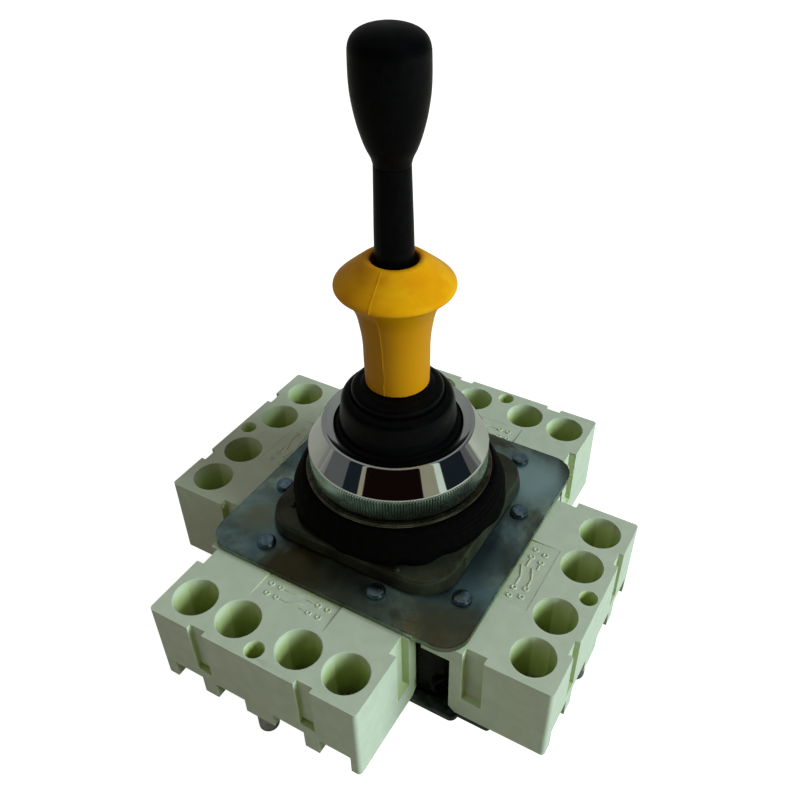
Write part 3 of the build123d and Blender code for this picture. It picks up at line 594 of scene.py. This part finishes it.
@dataclass(frozen=True)
class PartingLine:
    """A mould's raised line down both sides of a turned form.

    It lies at a direction in degrees, with its lift in millimetres and its half width in radians. The form's turn
    has count steps, and closer ones within a foot of the line, in radians, so that its ridge stays narrow. The
    holds test says at which radius and height it is raised, and kink bends its first side at a height.
    """

    degrees: float
    lift: float
    width: float
    count: int
    foot: float
    holds: Callable[[float, float], bool]
    kink: Callable[[float], float] = lambda height: 0.0

    @property
    def seams(self) -> Point2:
        """The directions of both sides, in radians."""
        return math.radians(self.degrees), math.radians(self.degrees + 180)

    @property
    def angles(self) -> list[float]:
        """The form's directions, in rising order."""
        close = [(seam + self.foot * step / 3) % math.tau for seam in self.seams for step in range(-4, 5)]
        far = [angle for angle in even_angles(self.count)
               if all(abs((angle - seam + math.pi) % math.tau - math.pi) > 1.6 * self.foot for seam in self.seams)]
        return sorted(close + far)

    def warp(self, angle: float, radius: float, height: float) -> Point2:
        """Says how far the line moves a place of the form out and up."""
        mark = max(swell(angle % math.tau, (seam + kink) % math.tau, self.width)
                   for seam, kink in zip(self.seams, (self.kink(height), 0.0)))
        return (self.lift * mark if self.holds(radius, height) else 0.0), 0.0


def rounded_square(half: float, corner: float, height: float, steps: int = 12) -> list[Vector]:
    """Gives a level ring of half a side, with four round corners in steps."""
    middle = Vector((half - corner, half - corner, height))
    return [about_z(90 * quarter) @ (middle + polar(corner, math.pi / 2 * step / steps, 0.0))
            for quarter in range(4) for step in range(steps + 1)]


def block_form(form: Form, low: Sequence[float], high: Sequence[float], edge: float, turn: float = 0.0) -> None:
    """Adds a small bar with bevelled edges.

    Args:
        form: The mesh that gets the bar.
        low: Its lowest corner before it is turned.
        high: Its highest corner.
        edge: Width of its bevels.
        turn: Angle in radians about the upright through its middle.
    """
    made = bmesh.ops.create_cube(form, size=1.0)["verts"]
    size = Vector(high) - Vector(low)
    middle = (Vector(high) + Vector(low)) / 2
    spin = Matrix.Rotation(turn, 3, "Z")
    for vert in made:
        vert.co = (spin @ Vector(c * s for c, s in zip(vert.co, size)) + middle) * MM
    edges = list({e for vert in made for e in vert.link_edges})
    bmesh.ops.bevel(form, geom=edges, offset=edge * MM, segments=2, profile=0.5, affect="EDGES")


def stand(name: str, data: bpy.types.ID) -> Thing:
    """Puts a new object with some data in the scene."""
    thing = bpy.data.objects.new(name, data)
    bpy.context.scene.collection.objects.link(thing)
    return thing


class Bench:
    """Turns forms into dressed pieces that ride on the frame's bodies."""

    def __init__(self, wardrobe: Wardrobe) -> None:
        """Keeps the wardrobe that dresses the pieces."""
        self.wardrobe = wardrobe
        self.pieces: list[Thing] = []

    def piece(self, name: str, form: Form, finishes: Sequence[Finish], body: str | None = None,
              replaces: str | None = None, crease: float = 32.0) -> Thing:
        """Makes an object of a form.

        Args:
            name: The piece's name.
            form: Its mesh, freed here.
            finishes: One finish for each material number.
            body: The body that it rides on, or None to leave it unattached.
            replaces: The CAD node that it stands for.
            crease: Angle in degrees from which an edge stays sharp.

        Returns:
            The piece.
        """
        bmesh.ops.remove_doubles(form, verts=form.verts, dist=1e-7)
        bmesh.ops.recalc_face_normals(form, faces=form.faces)
        mesh = bpy.data.meshes.new(name)
        form.to_mesh(mesh)
        form.free()
        mesh.shade_smooth()
        mesh.set_sharp_from_angle(angle=math.radians(crease))
        piece = stand(name, mesh)
        self.wardrobe.dress(piece, *finishes)
        if body:
            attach(piece, body)
        if replaces:
            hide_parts(replaces)
        self.pieces.append(piece)
        return piece

    def rounded_copy(self, node: str, finish: Finish, picks: Sequence[tuple[EdgeTest, float]],
                     move: Callable[[Vector], Vector]) -> Thing:
        """Makes a piece of a CAD node's mesh with chosen edges rounded.

        Args:
            node: The CAD node, which the piece replaces.
            finish: The piece's finish.
            picks: For each pass, a test of an edge's two ends and the bevel's width.
            move: Gives each corner's new place.

        Returns:
            The piece.
        """
        form = bmesh.new()
        form.from_mesh(frame["nodes"][node].data)
        bmesh.ops.remove_doubles(form, verts=form.verts, dist=1e-6)
        bmesh.ops.dissolve_limit(form, angle_limit=0.01, verts=form.verts, edges=form.edges)
        for vert in form.verts:
            vert.co = move(vert.co / MM) * MM
        for test, width in picks:
            chosen = [edge for edge in form.edges if len(edge.link_faces) == 2
                      and edge.calc_face_angle(0.0) > 0.4 and test(*(vert.co / MM for vert in edge.verts))]
            bmesh.ops.bevel(form, geom=chosen, offset=width * MM, segments=2, profile=0.5, affect="EDGES",
                            clamp_overlap=True)
        body = next(b for b, nodes in frame["record"]["behaviour"]["bodies"].items() if node in nodes)
        # bevels stay crisp, so that the large flat faces shade flat
        return self.piece(node + "_finished", form, [finish], body, node, crease=20)


# Sub-assemblies, from the panel side down


@dataclass(frozen=True)
class Assembly(ABC):
    """Pieces that belong together and are made at one bench."""

    bench: Bench

    @abstractmethod
    def build(self) -> None:
        """Makes the pieces."""


@dataclass(frozen=True)
class PanelStack(Assembly):
    """What clamps the joystick to its panel: gasket, washer and ring nut, all with one bore."""

    bore: float = 15.12
    gasket_levels: Point2 = (28.12, 35.08)
    washer_levels: Point2 = (35.1, 36.1)
    nut_foot: float = 36.2
    teeth: int = 200
    tooth_height: float = 0.19

    def build(self) -> None:
        """Makes the pieces."""
        self.nut()
        self.knurl()
        self.washer()
        self.gasket()

    def nut(self) -> None:
        """Ring nut: polished cone, round crest and satin dish down to the boot."""
        cone = [(self.bore, self.nut_foot), (16.7, self.nut_foot), (16.95, 36.45), (16.95, 41.25), (17.22, 41.35),
                (17.38, 41.5), (17.36, 41.68), (17.24, 41.85)]
        crest = [(14.62, 46.32), (14.5, 46.52), (14.3, 46.65), (14.08, 46.66), (13.88, 46.55)]
        dish = [(13.6, 46.42), (13.0, 46.34), (12.5, 46.3), (12.3, 46.22), (12.2, 46.05), (12.2, 43.75),
                (self.bore, 43.75)]
        bands = [0] * (len(cone) + len(crest) - 1) + [1] * len(dish) + [0]
        lathe = Lathe(cone + crest + dish, even_angles(160), bands=bands)
        self.bench.piece("nut_ring", lathe.cut(), [CHROME, LIP], "nut", "ring_nut")

    def knurl(self) -> None:
        """The nut's knurled band, whose teeth fade out at both rims."""
        rows = [(16.9, 36.5, 0.0), (17.12, 36.62, 0.6), (17.17, 36.9, 1.0), (17.17, 40.7, 1.0), (17.12, 41.0, 0.7),
                (17.0, 41.2, 0.0)]
        form = bmesh.new()
        steps_per_tooth = 4
        skin(form, [[polar(radius + self.tooth_height * depth * math.cos(angle * self.teeth), angle, height)
                     for angle in even_angles(self.teeth * steps_per_tooth)] for radius, height, depth in rows])
        self.bench.piece("nut_knurl", form, [KNURL], "nut", crease=80)

    def washer(self) -> None:
        """Clamp washer with rolled edges."""
        low, high = self.washer_levels
        rim = flowing([(17.95, low), (18.2, 35.3), (18.25, 35.6), (18.2, 35.9), (17.95, high)], 3)
        lathe = Lathe([(self.bore, low), *rim, (self.bore, high)], even_angles(128))
        self.bench.piece("washer_ring", lathe.cut(), [WASHER], "washer", "clamp_washer")

    def gasket(self) -> None:
        """Rubber gasket: ridges round its sloping flank and a lower skirt that has crept out of round."""
        low, high = self.gasket_levels
        flank = [(18.85, high), (19.2, 34.9), (19.35, 34.55), (19.5, 34.5), (19.75, 34.1), (19.8, 33.75),
                 (19.98, 33.7), (20.2, 33.25), (20.22, 32.9), (20.42, 32.8), (20.62, 32.3), (20.6, 31.9)]
        skirt = [(20.9, 31.6), (21.15, 31.0), (21.2, 30.2), (21.05, 29.3), (20.75, 28.6), (20.3, low)]
        outline = [(self.bore, low), (self.bore, high), *flank, *flowing(skirt, 2)]
        lathe = Lathe(outline, even_angles(240), self.creep)
        self.bench.piece("gasket_ring", lathe.cut(), [GASKET], "base", "panel_gasket", 50)

    @staticmethod
    def creep(angle: float, radius: float, height: float) -> Point2:
        """Moves the gasket's skirt in and out round the body's corners.

        Args:
            angle: Direction of a place of the gasket.
            radius: Its radius.
            height: Its height.

        Returns:
            How far out and how far up.
        """
        share = max(0.0, min(1.0, (31.4 - height) / 2.4)) if radius > 16 else 0.0
        wave = 0.35 * math.sin(5 * angle + 0.6) + 0.25 * math.sin(11 * angle) + 0.12 * math.sin(23 * angle + 1.0)
        scoop = -0.9 * swell(angle, math.radians(301), 0.12) - 0.7 * swell(angle, math.radians(223), 0.1)
        bulge = 0.6 * swell(angle, math.radians(315), 0.2)
        return share * (wave + scoop + bulge), 0.12 * share * math.sin(7 * angle)


@dataclass(frozen=True)
class HeadCasting(Assembly):
    """The die-cast body: a drafted rounded square with the threaded neck and two small pips."""

    foot: float = 24.72
    shoulder: float = 28.1
    half: float = 20.4
    corner: float = 7.6
    least_corner: float = 5.0
    thread_crest: float = 15.0
    thread_root: float = 14.55
    half_pitch: float = 0.75
    thread_steps: int = 18
    pips: tuple[Point2, ...] = ((21.6, -1.062), (21.5, -2.396))

    def build(self) -> None:
        """Makes the casting."""
        form = bmesh.new()
        levels = [(19.8, self.foot), (19.8, 25.05), (20.2, 25.1), (20.34, 25.25), (20.28, 25.6), (19.95, 27.4),
                  (19.82, 27.75), (19.6, 28.0), (19.25, self.shoulder), (12.2, self.shoulder)]
        # the foot's and shoulder's rims take the painted highlight finish
        skin(form, [rounded_square(half, max(self.corner - (self.half - half), self.least_corner), height)
                    for half, height in levels], bands=[0, 0, 1, 1, 0, 0, 1, 1, 0])
        thread = [(self.thread_root if step % 2 else self.thread_crest, self.shoulder + self.half_pitch * step)
                  for step in range(1, self.thread_steps + 1)]
        neck = [(14.6, self.shoulder), *thread, (self.thread_root, 42.9), (12.65, 42.98), (12.65, 39.3), (11.8, 39.3),
                (11.8, self.foot)]
        Lathe(neck, even_angles(96), closed=False).cut(form)
        dome = flowing([(0.62, 0.0), (0.55, 0.3), (0.35, 0.5), (0.0, 0.56)], 3)
        for pip in self.pips:
            Lathe(dome, even_angles(14), closed=False).cut(form, Matrix.Translation(polar(*pip, self.shoulder)))
        self.bench.piece("casting", form, [CASTING, CAST_RIM_HIGHLIGHT], "base", "head_body", 30)


@dataclass(frozen=True)
class LeverTop(Assembly):
    """What the hand and eye meet: boot, collar, stick and knob, and the spring in the collar."""

    boot_split: Point2 = (10.76, 50.0)
    boot_hole: float = 4.72
    collar_foot: float = 55.9
    collar_bore: float = 5.3
    spring_foot: float = 59.6
    spring_seat: float = 72.0
    collar_lift: float = 5.0
    shaft_radius: float = 2.0
    stick_top: float = 96.2

    def build(self) -> None:
        """Makes the pieces."""
        self.boot()
        self.collar()
        self.stick()
        self.knob()
        self.spring()

    def boot(self) -> None:
        """Rubber boot: a bell above the nut's lip and two steps, made in two halves that are left unattached."""
        lower = [(12.5, 40.6), (12.5, 42.9), (12.02, 43.1), (12.02, 45.7),
                 *flowing([(11.92, 46.02), (11.6, 46.12), (11.3, 46.2), (11.18, 46.5)], 2),
                 *flowing([(11.12, 47.1), (11.0, 48.3), (10.86, 49.3), self.boot_split], 3)]
        lining = [(9.9, 50.0), (10.1, 48.4), (10.4, 47.0), (10.6, 45.4), (11.05, 43.4), (11.05, 40.6)]
        cuff = self.bench.piece("boot_lower", Lathe(lower + lining).cut(), [BOOT], None, "rubber_boot", 50)
        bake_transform(cuff)
        upper = [*flowing([self.boot_split, (10.68, 50.8), (10.56, 51.6), (10.3, 52.3), (9.85, 52.8), (9.3, 53.05),
                           (8.85, 53.12)], 3),
                 *flowing([(8.62, 52.98), (8.6, 53.5), (8.52, 54.1), (8.25, 54.55), (7.8, 54.85), (7.2, 55.0)], 3),
                 *flowing([(6.9, 54.95), (6.5, 55.25), (5.9, 55.52), (5.3, 55.58), (self.boot_hole, 55.58)], 3)]
        inner = [(self.boot_hole, 53.8), (6.8, 53.1), (8.8, 52.0), (9.4, 51.0), (9.9, 50.0)]
        top = self.bench.piece("boot_upper", Lathe(upper + inner).cut(), [BOOT], crease=50)
        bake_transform(top)

    def collar(self) -> None:
        """Interlock collar: flared neck, undercut rim and low dome, with a mould seam down both sides."""
        neck = [(5.85, self.collar_foot), (5.88, 57.2), (5.92, 58.5), (5.95, 61.0), (5.97, 63.8), (6.12, 65.8),
                (6.3, 67.2), (6.5, 68.5), (6.78, 69.9), (7.07, 70.9), (7.45, 71.8), (8.0, 72.75), (8.65, 73.6),
                (9.4, 74.4), (10.0, 74.95)]
        rim = [(10.26, 75.17), (10.4, 75.4), (10.43, 75.65), (10.37, 75.98), (10.15, 76.33), (9.7, 76.78)]
        cap = [(9.2, 77.22), (7.6, 78.55), (6.2, 79.68), (5.65, 80.08), (5.2, 80.36), (4.8, 80.47), (4.35, 80.44),
               (4.08, 80.25)]
        hole = [(4.0, 79.9), (4.0, 76.3), (self.collar_bore, 75.1), (self.collar_bore, self.collar_foot)]
        line = PartingLine(-83, 0.09, 0.024, 112, 0.04, lambda radius, height: radius > 5.6 or height > 77,
                           lambda height: 0.03 * swell(height, 59.6, 1.1))
        lathe = Lathe([*flowing(neck, 2), *flowing(rim, 2), *flowing(cap, 3), *hole], line.angles, line.warp)
        self.bench.piece("collar_shell", lathe.cut(), [AMBER], "collar", "interlock_collar", 40)

    def stick(self) -> None:
        """Black sleeve of the stick, with the collar spring's seat and a fine parting line."""
        seat, top = self.spring_seat, self.stick_top
        outline = [(self.shaft_radius, 65.0), (3.8, 65.0), (3.65, 69.8), (3.57, seat), (5.0, seat), (5.0, 73.3),
                   (3.53, 73.3), (3.42, 77.0), (3.35, 80.0), (3.25, 86.0), (3.12, 91.0), (3.0, top - 0.1),
                   (2.85, top - 0.02), (self.shaft_radius, top)]
        line = PartingLine(-98, 0.05, 0.06, 72, 0.09, lambda radius, height: 2.9 < radius < 4)
        lathe = Lathe(outline, line.angles, line.warp)
        self.bench.piece("stick_tube", lathe.cut(), [GRIP], "lever", "stick_sleeve", 40)

    def knob(self) -> None:
        """Knob: an egg-shaped grip with a shallow dome and a faint seam."""
        flank = [(2.97, self.stick_top), (3.31, 97.45), (3.92, 98.7), (4.39, 99.9), (4.77, 101.1), (5.11, 102.3),
                 (5.39, 103.5), (5.6, 104.6), (5.79, 105.8), (5.93, 106.9), (6.02, 108.2), (6.05, 109.6),
                 (6.04, 110.8), (6.0, 112.4)]
        crown = [(5.93, 113.2), (5.65, 114.1), (5.1, 114.85), (4.2, 115.45), (2.9, 115.9), (1.5, 116.12),
                 (0.0, 116.18)]
        socket = [(0.0, 109.4), (self.shaft_radius, 109.4), (self.shaft_radius, self.stick_top)]
        line = PartingLine(-68, 0.035, 0.03, 96, 0.04, lambda radius, height: radius > 2.5 and height < 115.5)
        lathe = Lathe([*flowing(flank + crown, 3), *socket], line.angles, line.warp)
        self.bench.piece("knob_grip", lathe.cut(), [GRIP], "lever", "knob", 50)

    def spring(self) -> None:
        """Collar spring: a copy of the imported spring that rides on the lever."""
        form = bmesh.new()
        form.from_mesh(frame["nodes"]["collar_spring"].data)
        coil = self.bench.piece("collar_coil", form, [STEEL], "lever", "collar_spring", 40)
        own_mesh(coil)


@dataclass(frozen=True)
class ContactBlocks(Assembly):
    """The four ivory blocks: rounded edges and the sunk label panel with plain contact signs.

    Places are those of the front block. A bore is x, y and radius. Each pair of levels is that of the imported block
    and that of the photograph.
    """

    top: float = 23.5
    fronts: Point2 = (-45.0, -44.0)
    ends: Point2 = (-26.1, 18.3)
    bore_places: tuple[float, ...] = (-20.5, -10.6, 2.6, 12.5)
    bore_row: float = -38.9
    bore_radius: float = 4.13
    fixing_bore: Point3 = (-4.0, -42.7, 1.75)
    soft_outline: float = 0.32
    soft_rim: float = 0.22
    label_span: Point2 = (-12.4, 4.4)
    label_reach: Point2 = (-26.05, -33.85)
    label_edge: Point2 = (23.15, 23.45)
    recess_span: Point2 = (-24.0, 16.2)
    recess_wall: Point2 = (-33.2, -32.1)
    recess_floor: Point2 = (8.9, 9.7)
    flange_inside: float = -25.7
    flange: Point2 = (19.1, 19.9)
    sign_rows: Point2 = (-29.5, -31.7)
    sign_step: float = 0.6

    def build(self) -> None:
        """Makes the blocks and their panels."""
        for side in Side:
            self.block(side)
            self.panel(side)

    def block(self, side: Side) -> None:
        """Makes a side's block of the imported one."""
        back = side.turn.inverted()
        self.bench.rounded_copy(f"contact_block_{side.name.lower()}", IVORY, [
            (lambda one, other: self.on_outline(back @ one, back @ other), self.soft_outline),
            (lambda one, other: self.on_rim(back @ one, back @ other), self.soft_rim)],
            lambda place: side.turn @ self.settled(back @ place))

    def on_outline(self, *ends: Vector) -> bool:
        """Whether an edge of the front block is on the outline of its top."""
        lines = [(1, place) for place in self.fronts] + [(0, place) for place in self.ends]
        return all(near(end.z, self.top) for end in ends) and any(
            all(near(end[axis], place) for end in ends) for axis, place in lines)

    def on_rim(self, *ends: Vector) -> bool:
        """Whether an edge of the front block is the rim of a screwdriver bore or of the fixing bore."""
        bores = [(x, self.bore_row, self.bore_radius) for x in self.bore_places] + [self.fixing_bore]
        return all(near(end.z, self.top) for end in ends) and any(
            all(near(math.hypot(end.x - x, end.y - y), radius) for end in ends) for x, y, radius in bores)

    def settled(self, place: Vector) -> Vector:
        """Fits a corner of the front block to the photograph: label floor, end recess and flange.

        Args:
            place: The corner.

        Returns:
            Its new place.
        """
        x, y, z = place
        slack = 0.05
        at_end = x < self.recess_span[0] or x > self.recess_span[1]
        on_label = self.label_span[0] < x < self.label_span[1] and near(z, self.label_edge[0], slack)
        if on_label and near(y, self.label_reach[1], slack):
            z = self.label_edge[1]
        elif at_end and near(y, self.recess_wall[0], slack):
            y = self.recess_wall[1]
        if at_end and near(z, self.recess_floor[0], slack):
            z = self.recess_floor[1]
        if near(z, self.flange[0], slack) and y > self.flange_inside:
            z = self.flange[1]
        return Vector((x, y, z))

    def panel(self, side: Side) -> None:
        """Plain raised contact signs in a block's sunk panel: rings joined by bars with an open blade.

        Args:
            side: The block's side of the pinwheel.
        """
        ring = [(0.3, -0.05), (0.3, 0.1), (0.38, 0.16), (0.5, 0.16), (0.58, 0.1), (0.58, -0.05)]
        half, sunk, raised, soft = 0.12, 0.05, 0.14, 0.05
        (near_side, far_side), (low, high) = self.label_reach, self.label_edge
        form = bmesh.new()
        for row, y in enumerate(self.sign_rows):
            inset = self.sign_step * row
            floor = low + (high - low) * (y - near_side) / (far_side - near_side)
            for x in (-10.3 + inset, -8.2 + inset, 0.2 - inset, 2.3 - inset):
                Lathe(ring, even_angles(14)).cut(form, Matrix.Translation((x, y, floor)))
            for start, end in ((-7.5 + inset, -5.4), (-2.4, -0.5 - inset)):
                block_form(form, (start, y - half, floor - sunk), (end, y + half, floor + raised), soft)
            block_form(form, (-5.5, y + 0.33, floor - sunk), (-2.3, y + 0.57, floor + raised), soft, 0.35)
        bmesh.ops.rotate(form, verts=form.verts, cent=(0, 0, 0), matrix=side.turn.to_3x3())
        self.bench.piece(f"block_panel_{side.name.lower()}", form, [IVORY], "base")


@dataclass(frozen=True)
class Underpinning(Assembly):
    """What holds the blocks from below and above: tabbed base sheet, rivet heads and the core's corner bosses."""

    half: float = 27.5
    corner: float = 1.45
    tab: Point3 = (-26.0, 17.3, 34.0)
    tab_corner: float = 0.8
    sheet_levels: Point2 = (3.1, 4.6)
    soft_edge: float = 0.18
    rivet_places: tuple[Point2, ...] = ((-16.5, -22.85), (8.4, -22.85))
    boss_place: Point3 = (33.95, -0.9, 9.4)

    def build(self) -> None:
        """Makes the pieces."""
        self.sheet()
        self.rivets()
        self.bosses()

    def outline(self, inset: float, height: float) -> list[Vector]:
        """The base sheet's outline: a square with rounded corners and one tab on each side.

        Args:
            inset: How far it is drawn in.
            height: Its height.

        Returns:
            The ring's places.
        """
        left, right, reach = self.tab[0] + inset, self.tab[1] - inset, self.tab[2] - inset
        half, corner, tip = self.half - inset, self.corner - inset, self.tab_corner - inset
        places = [Vector((left, -half, height))]
        for x, start in ((left + tip, 180), (right - tip, 270)):
            places += [Vector((x, tip - reach, 0.0)) + polar(tip, math.radians(start + step), height)
                       for step in (0, 30, 60, 90)]
        places.append(Vector((right, -half, height)))
        middle = Vector((half - corner, corner - half, 0.0))
        places += [middle + polar(corner, math.radians(270 + 90 * step / 8), height) for step in range(9)]
        return [side.turn @ place for side in Side for place in places]

    def sheet(self) -> None:
        """Base sheet with softly broken edges, dark zinc except for the tabs' own edges."""
        form = bmesh.new()
        (low, high), soft = self.sheet_levels, self.soft_edge
        rings = [self.outline(inset, height)
                 for inset, height in ((soft, low), (0.0, low + soft), (0.0, high - soft), (soft, high))]
        skin(form, rings)
        for ring in (rings[0], rings[-1]):
            face = form.faces.new([form.verts.new(place * MM) for place in ring])
            bmesh.ops.triangulate(form, faces=[face])
        for face in form.faces:
            middle = face.calc_center_median() / MM
            face.material_index = int(max(abs(middle.x), abs(middle.y)) > self.half + 0.2)
        self.bench.piece("base_sheet", form, [DARK_ZINC, BARE], "base", "base_plate", 40)

    def rivets(self) -> None:
        """Rivet heads with soft rims above the top plate and under the base sheet."""
        upper = [(0.0, 25.9), (1.25, 25.88), (1.5, 25.78), (1.78, 25.4), (1.85, 25.15), (1.85, 24.6), (0.0, 24.6)]
        lower = [(0.0, 1.9), (1.3, 1.9), (1.75, 2.2), (1.85, 2.5), (1.85, 3.2), (0.0, 3.2)]
        form = bmesh.new()
        for side in Side:
            for x, y in self.rivet_places:
                for outline in (upper, lower):
                    Lathe(outline, even_angles(28), closed=False).cut(form, side.turn @ Matrix.Translation((x, y, 0)))
        self.bench.piece("rivet_heads", form, [RIVET], "base", "block_rivets")

    def bosses(self) -> None:
        """Round sockets on the core's corners, each with a bright screw end at its bottom."""
        ring = [(2.3, -0.6), (2.3, 0.25), (2.1, 0.45), (1.75, 0.5), (1.45, 0.3), (1.35, -0.6)]
        tip = [(1.4, -0.3), (0.7, -0.12), (0.0, -0.1)]
        form = bmesh.new()
        for side in Side:
            where = (about_z(side.value - 45) @ Matrix.Translation(self.boss_place)
                     @ Matrix.Rotation(math.pi / 2, 4, "Y"))
            Lathe(ring, even_angles(24), bands=[0] * 6).cut(form, where)
            Lathe(tip, even_angles(24), closed=False, bands=[1] * 2).cut(form, where)
        self.bench.piece("core_bosses", form, [CORE, STEEL], "base")


# Camera, light and floor


class Tone(Enum):
    """Linear colours of the walls in the room that gloss mirrors."""

    PALE = (0.2, 0.2, 0.2)
    SHADED = (0.1, 0.1, 0.1)
    CREAM = (0.3, 0.28, 0.2)
    WINDOW = (0.6, 0.7, 0.6)
    DARK = (0.01, 0.015, 0.02)
    BLACK = (0.006, 0.002, 0.002)


@dataclass(frozen=True)
class Studio:
    """Pale floor, a broad window light from the right, soft fill and the photograph's camera.

    The eye is in millimetres, the angles in degrees and the clip, aim and floor in metres. Each lamp has a name, a
    place and a side in metres, watts and a colour. The walls are what gloss mirrors at the horizon: each begins at
    its angle.
    """

    eye: Point3 = (64.28, -103.57, 146.67)
    azimuth: float = 27.80
    elevation: float = 39.06
    roll: float = 1.12
    lens: float = 37.51
    shift: Point2 = (-0.0549, 0.0154)
    sensor: float = 36.0
    clip: Point2 = (0.005, 20.0)
    aim: Point3 = (0.0, 0.0, 0.04)
    floor_size: float = 6.0
    floor_colour: Rgb = (0.42, 0.4, 0.34)
    floor_glow: float = 0.97
    floor_mirrored: float = 0.12
    lamps: tuple[tuple[str, Point3, float, float, Rgb], ...] = (
        ("window", (0.92, 0.1, 0.4), 0.55, 12.8, (0.83, 1.0, 1.0)),
        ("overhead", (-0.1, 0.2, 1.1), 0.8, 1.4, (1.0, 1.0, 0.98)),
        ("fill", (-0.5, -0.8, 0.45), 0.6, 0.8, (1.0, 0.96, 0.8)))
    walls: tuple[tuple[float, Tone], ...] = (
        (-180, Tone.PALE), (-62, Tone.SHADED), (-36, Tone.DARK), (-18, Tone.CREAM), (-12, Tone.BLACK),
        (57, Tone.CREAM), (75, Tone.WINDOW), (84, Tone.DARK), (118, Tone.SHADED), (150, Tone.PALE))
    ceiling: Rgb = (0.24, 0.26, 0.24)
    ground: Rgb = (0.3, 0.31, 0.29)
    soft_fill: Rgb = (0.165, 0.155, 0.125)

    def build(self) -> None:
        """Makes the camera, the lamps, the surroundings and the floor."""
        self.camera()
        for lamp in self.lamps:
            self.lamp(*lamp)
        self.surroundings()
        self.floor()

    def camera(self) -> None:
        """Sets the camera where the photograph was taken from."""
        data = bpy.data.cameras.new("camera")
        data.lens, data.sensor_width = self.lens, self.sensor
        data.shift_x, data.shift_y = self.shift
        data.clip_start, data.clip_end = self.clip
        camera = stand("camera", data)
        turn, tilt = math.radians(self.azimuth), math.radians(self.elevation)
        ahead = Vector((-math.sin(turn) * math.cos(tilt), math.cos(turn) * math.cos(tilt), -math.sin(tilt)))
        camera.rotation_mode = "QUATERNION"
        camera.rotation_quaternion = ahead.to_track_quat("-Z", "Y") @ about_z(self.roll).to_quaternion()
        camera.location = Vector(self.eye) * MM
        bpy.context.scene.camera = camera

    def lamp(self, name: str, place: Point3, size: float, power: float, colour: Rgb) -> None:
        """Adds a square area lamp that points at the object.

        Args:
            name: The lamp's name.
            place: Where it stands, in metres.
            size: Its side, in metres.
            power: Its power, in watts.
            colour: Its colour.
        """
        data = bpy.data.lights.new(name, "AREA")
        data.shape, data.size, data.energy, data.color = "SQUARE", size, power, colour
        lamp = stand(name, data)
        lamp.location = place
        lamp.rotation_mode = "QUATERNION"
        lamp.rotation_quaternion = (Vector(self.aim) - Vector(place)).to_track_quat("-Z", "Y")
        lamp.visible_glossy = False

    def surroundings(self) -> None:
        """Makes a pale background, with a room for gloss to mirror and even warm fill light."""
        world = bpy.data.worlds.new("room")
        bpy.context.scene.world = world
        tree = fresh_tree(world)
        ray = put(tree, "LightPath").outputs
        x, y, z = put(tree, "SeparateXYZ", {0: put(tree, "TexCoord").outputs["Generated"]}).outputs
        around = maths(tree, "ARCTAN2", x, maths(tree, "MULTIPLY", y, -1.0))
        walls = put(tree, "ValToRGB", {0: maths(tree, "MULTIPLY_ADD", around, 0.5 / math.pi, 0.5)})
        ramp = walls.color_ramp
        ramp.interpolation = "CONSTANT"
        while len(ramp.elements) < len(self.walls):
            ramp.elements.new(0.5)
        for element, (angle, tone) in zip(ramp.elements, self.walls):
            element.position = angle / 360 + 0.5
            element.color = opaque(tone.value)
        room = blend_colour(tree, spread(tree, z, 0.55, 0.75), walls.outputs[0], self.ceiling)
        room = blend_colour(tree, spread(tree, z, 0.02, -0.02), room, self.ground)
        seen = maths(tree, "MAXIMUM", ray["Is Camera Ray"], ray["Is Transmission Ray"])
        fill = blend_colour(tree, ray["Is Glossy Ray"], self.soft_fill, room)
        colour = blend_colour(tree, seen, fill, (1.0, 1.0, 1.0))
        background = put(tree, "Background", {"Color": colour, "Strength": 1.0})
        put(tree, "OutputWorld", {"Surface": background.outputs[0]})

    def floor(self) -> None:
        """Makes the pale floor, white where light reaches it and with the object's soft shadow."""
        mesh = bpy.data.meshes.new("floor")
        half = self.floor_size / 2
        mesh.from_pydata([(-half, -half, 0), (half, -half, 0), (half, half, 0), (-half, half, 0)], [],
                         [(0, 1, 2, 3)])
        floor = stand("floor", mesh)
        material = bpy.data.materials.new("pale_floor")
        tree = fresh_tree(material)
        ray = put(tree, "LightPath").outputs
        # gloss sees the floor as pale as a real one, and the camera sees it white
        mirrored = maths(tree, "MULTIPLY", ray["Is Glossy Ray"], self.floor_mirrored)
        seen = maths(tree, "MAXIMUM", ray["Is Camera Ray"], mirrored)
        seen = maths(tree, "MAXIMUM", seen, ray["Is Transmission Ray"])
        matt = put(tree, "BsdfDiffuse", {"Color": opaque(self.floor_colour)})
        glow = put(tree, "Emission", {"Color": opaque((1.0, 1.0, 1.0)), "Strength": self.floor_glow})
        both = put(tree, "AddShader", {0: matt.outputs[0], 1: glow.outputs[0]})
        mix = put(tree, "MixShader", {0: seen, 1: matt.outputs[0], 2: both.outputs[0]})
        put(tree, "OutputMaterial", {"Surface": mix.outputs[0]})
        mesh.materials.append(material)


def clear_defaults() -> None:
    """Removes what Blender starts with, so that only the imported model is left."""
    kept = set(frame["nodes"].values()) | set(frame["bodies"].values())
    for thing in list(bpy.context.scene.objects):
        if thing not in kept:
            bpy.data.objects.remove(thing)


def main() -> None:
    """Builds every sub-assembly in order and then the studio, and reports each piece."""
    logging.basicConfig(level=logging.INFO, format="%(name)s: %(message)s")
    clear_defaults()
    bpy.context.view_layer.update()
    wardrobe = Wardrobe()
    wardrobe.dress_nodes()
    bench = Bench(wardrobe)
    for assembly in (PanelStack, HeadCasting, LeverTop, ContactBlocks, Underpinning):
        assembly(bench).build()
    for piece in bench.pieces:
        log.info("%s: %d faces", piece.name, len(piece.data.polygons))
    Studio().build()
    bpy.context.scene.view_settings.view_transform = "Standard"


if __name__ == "__main__":
    main()
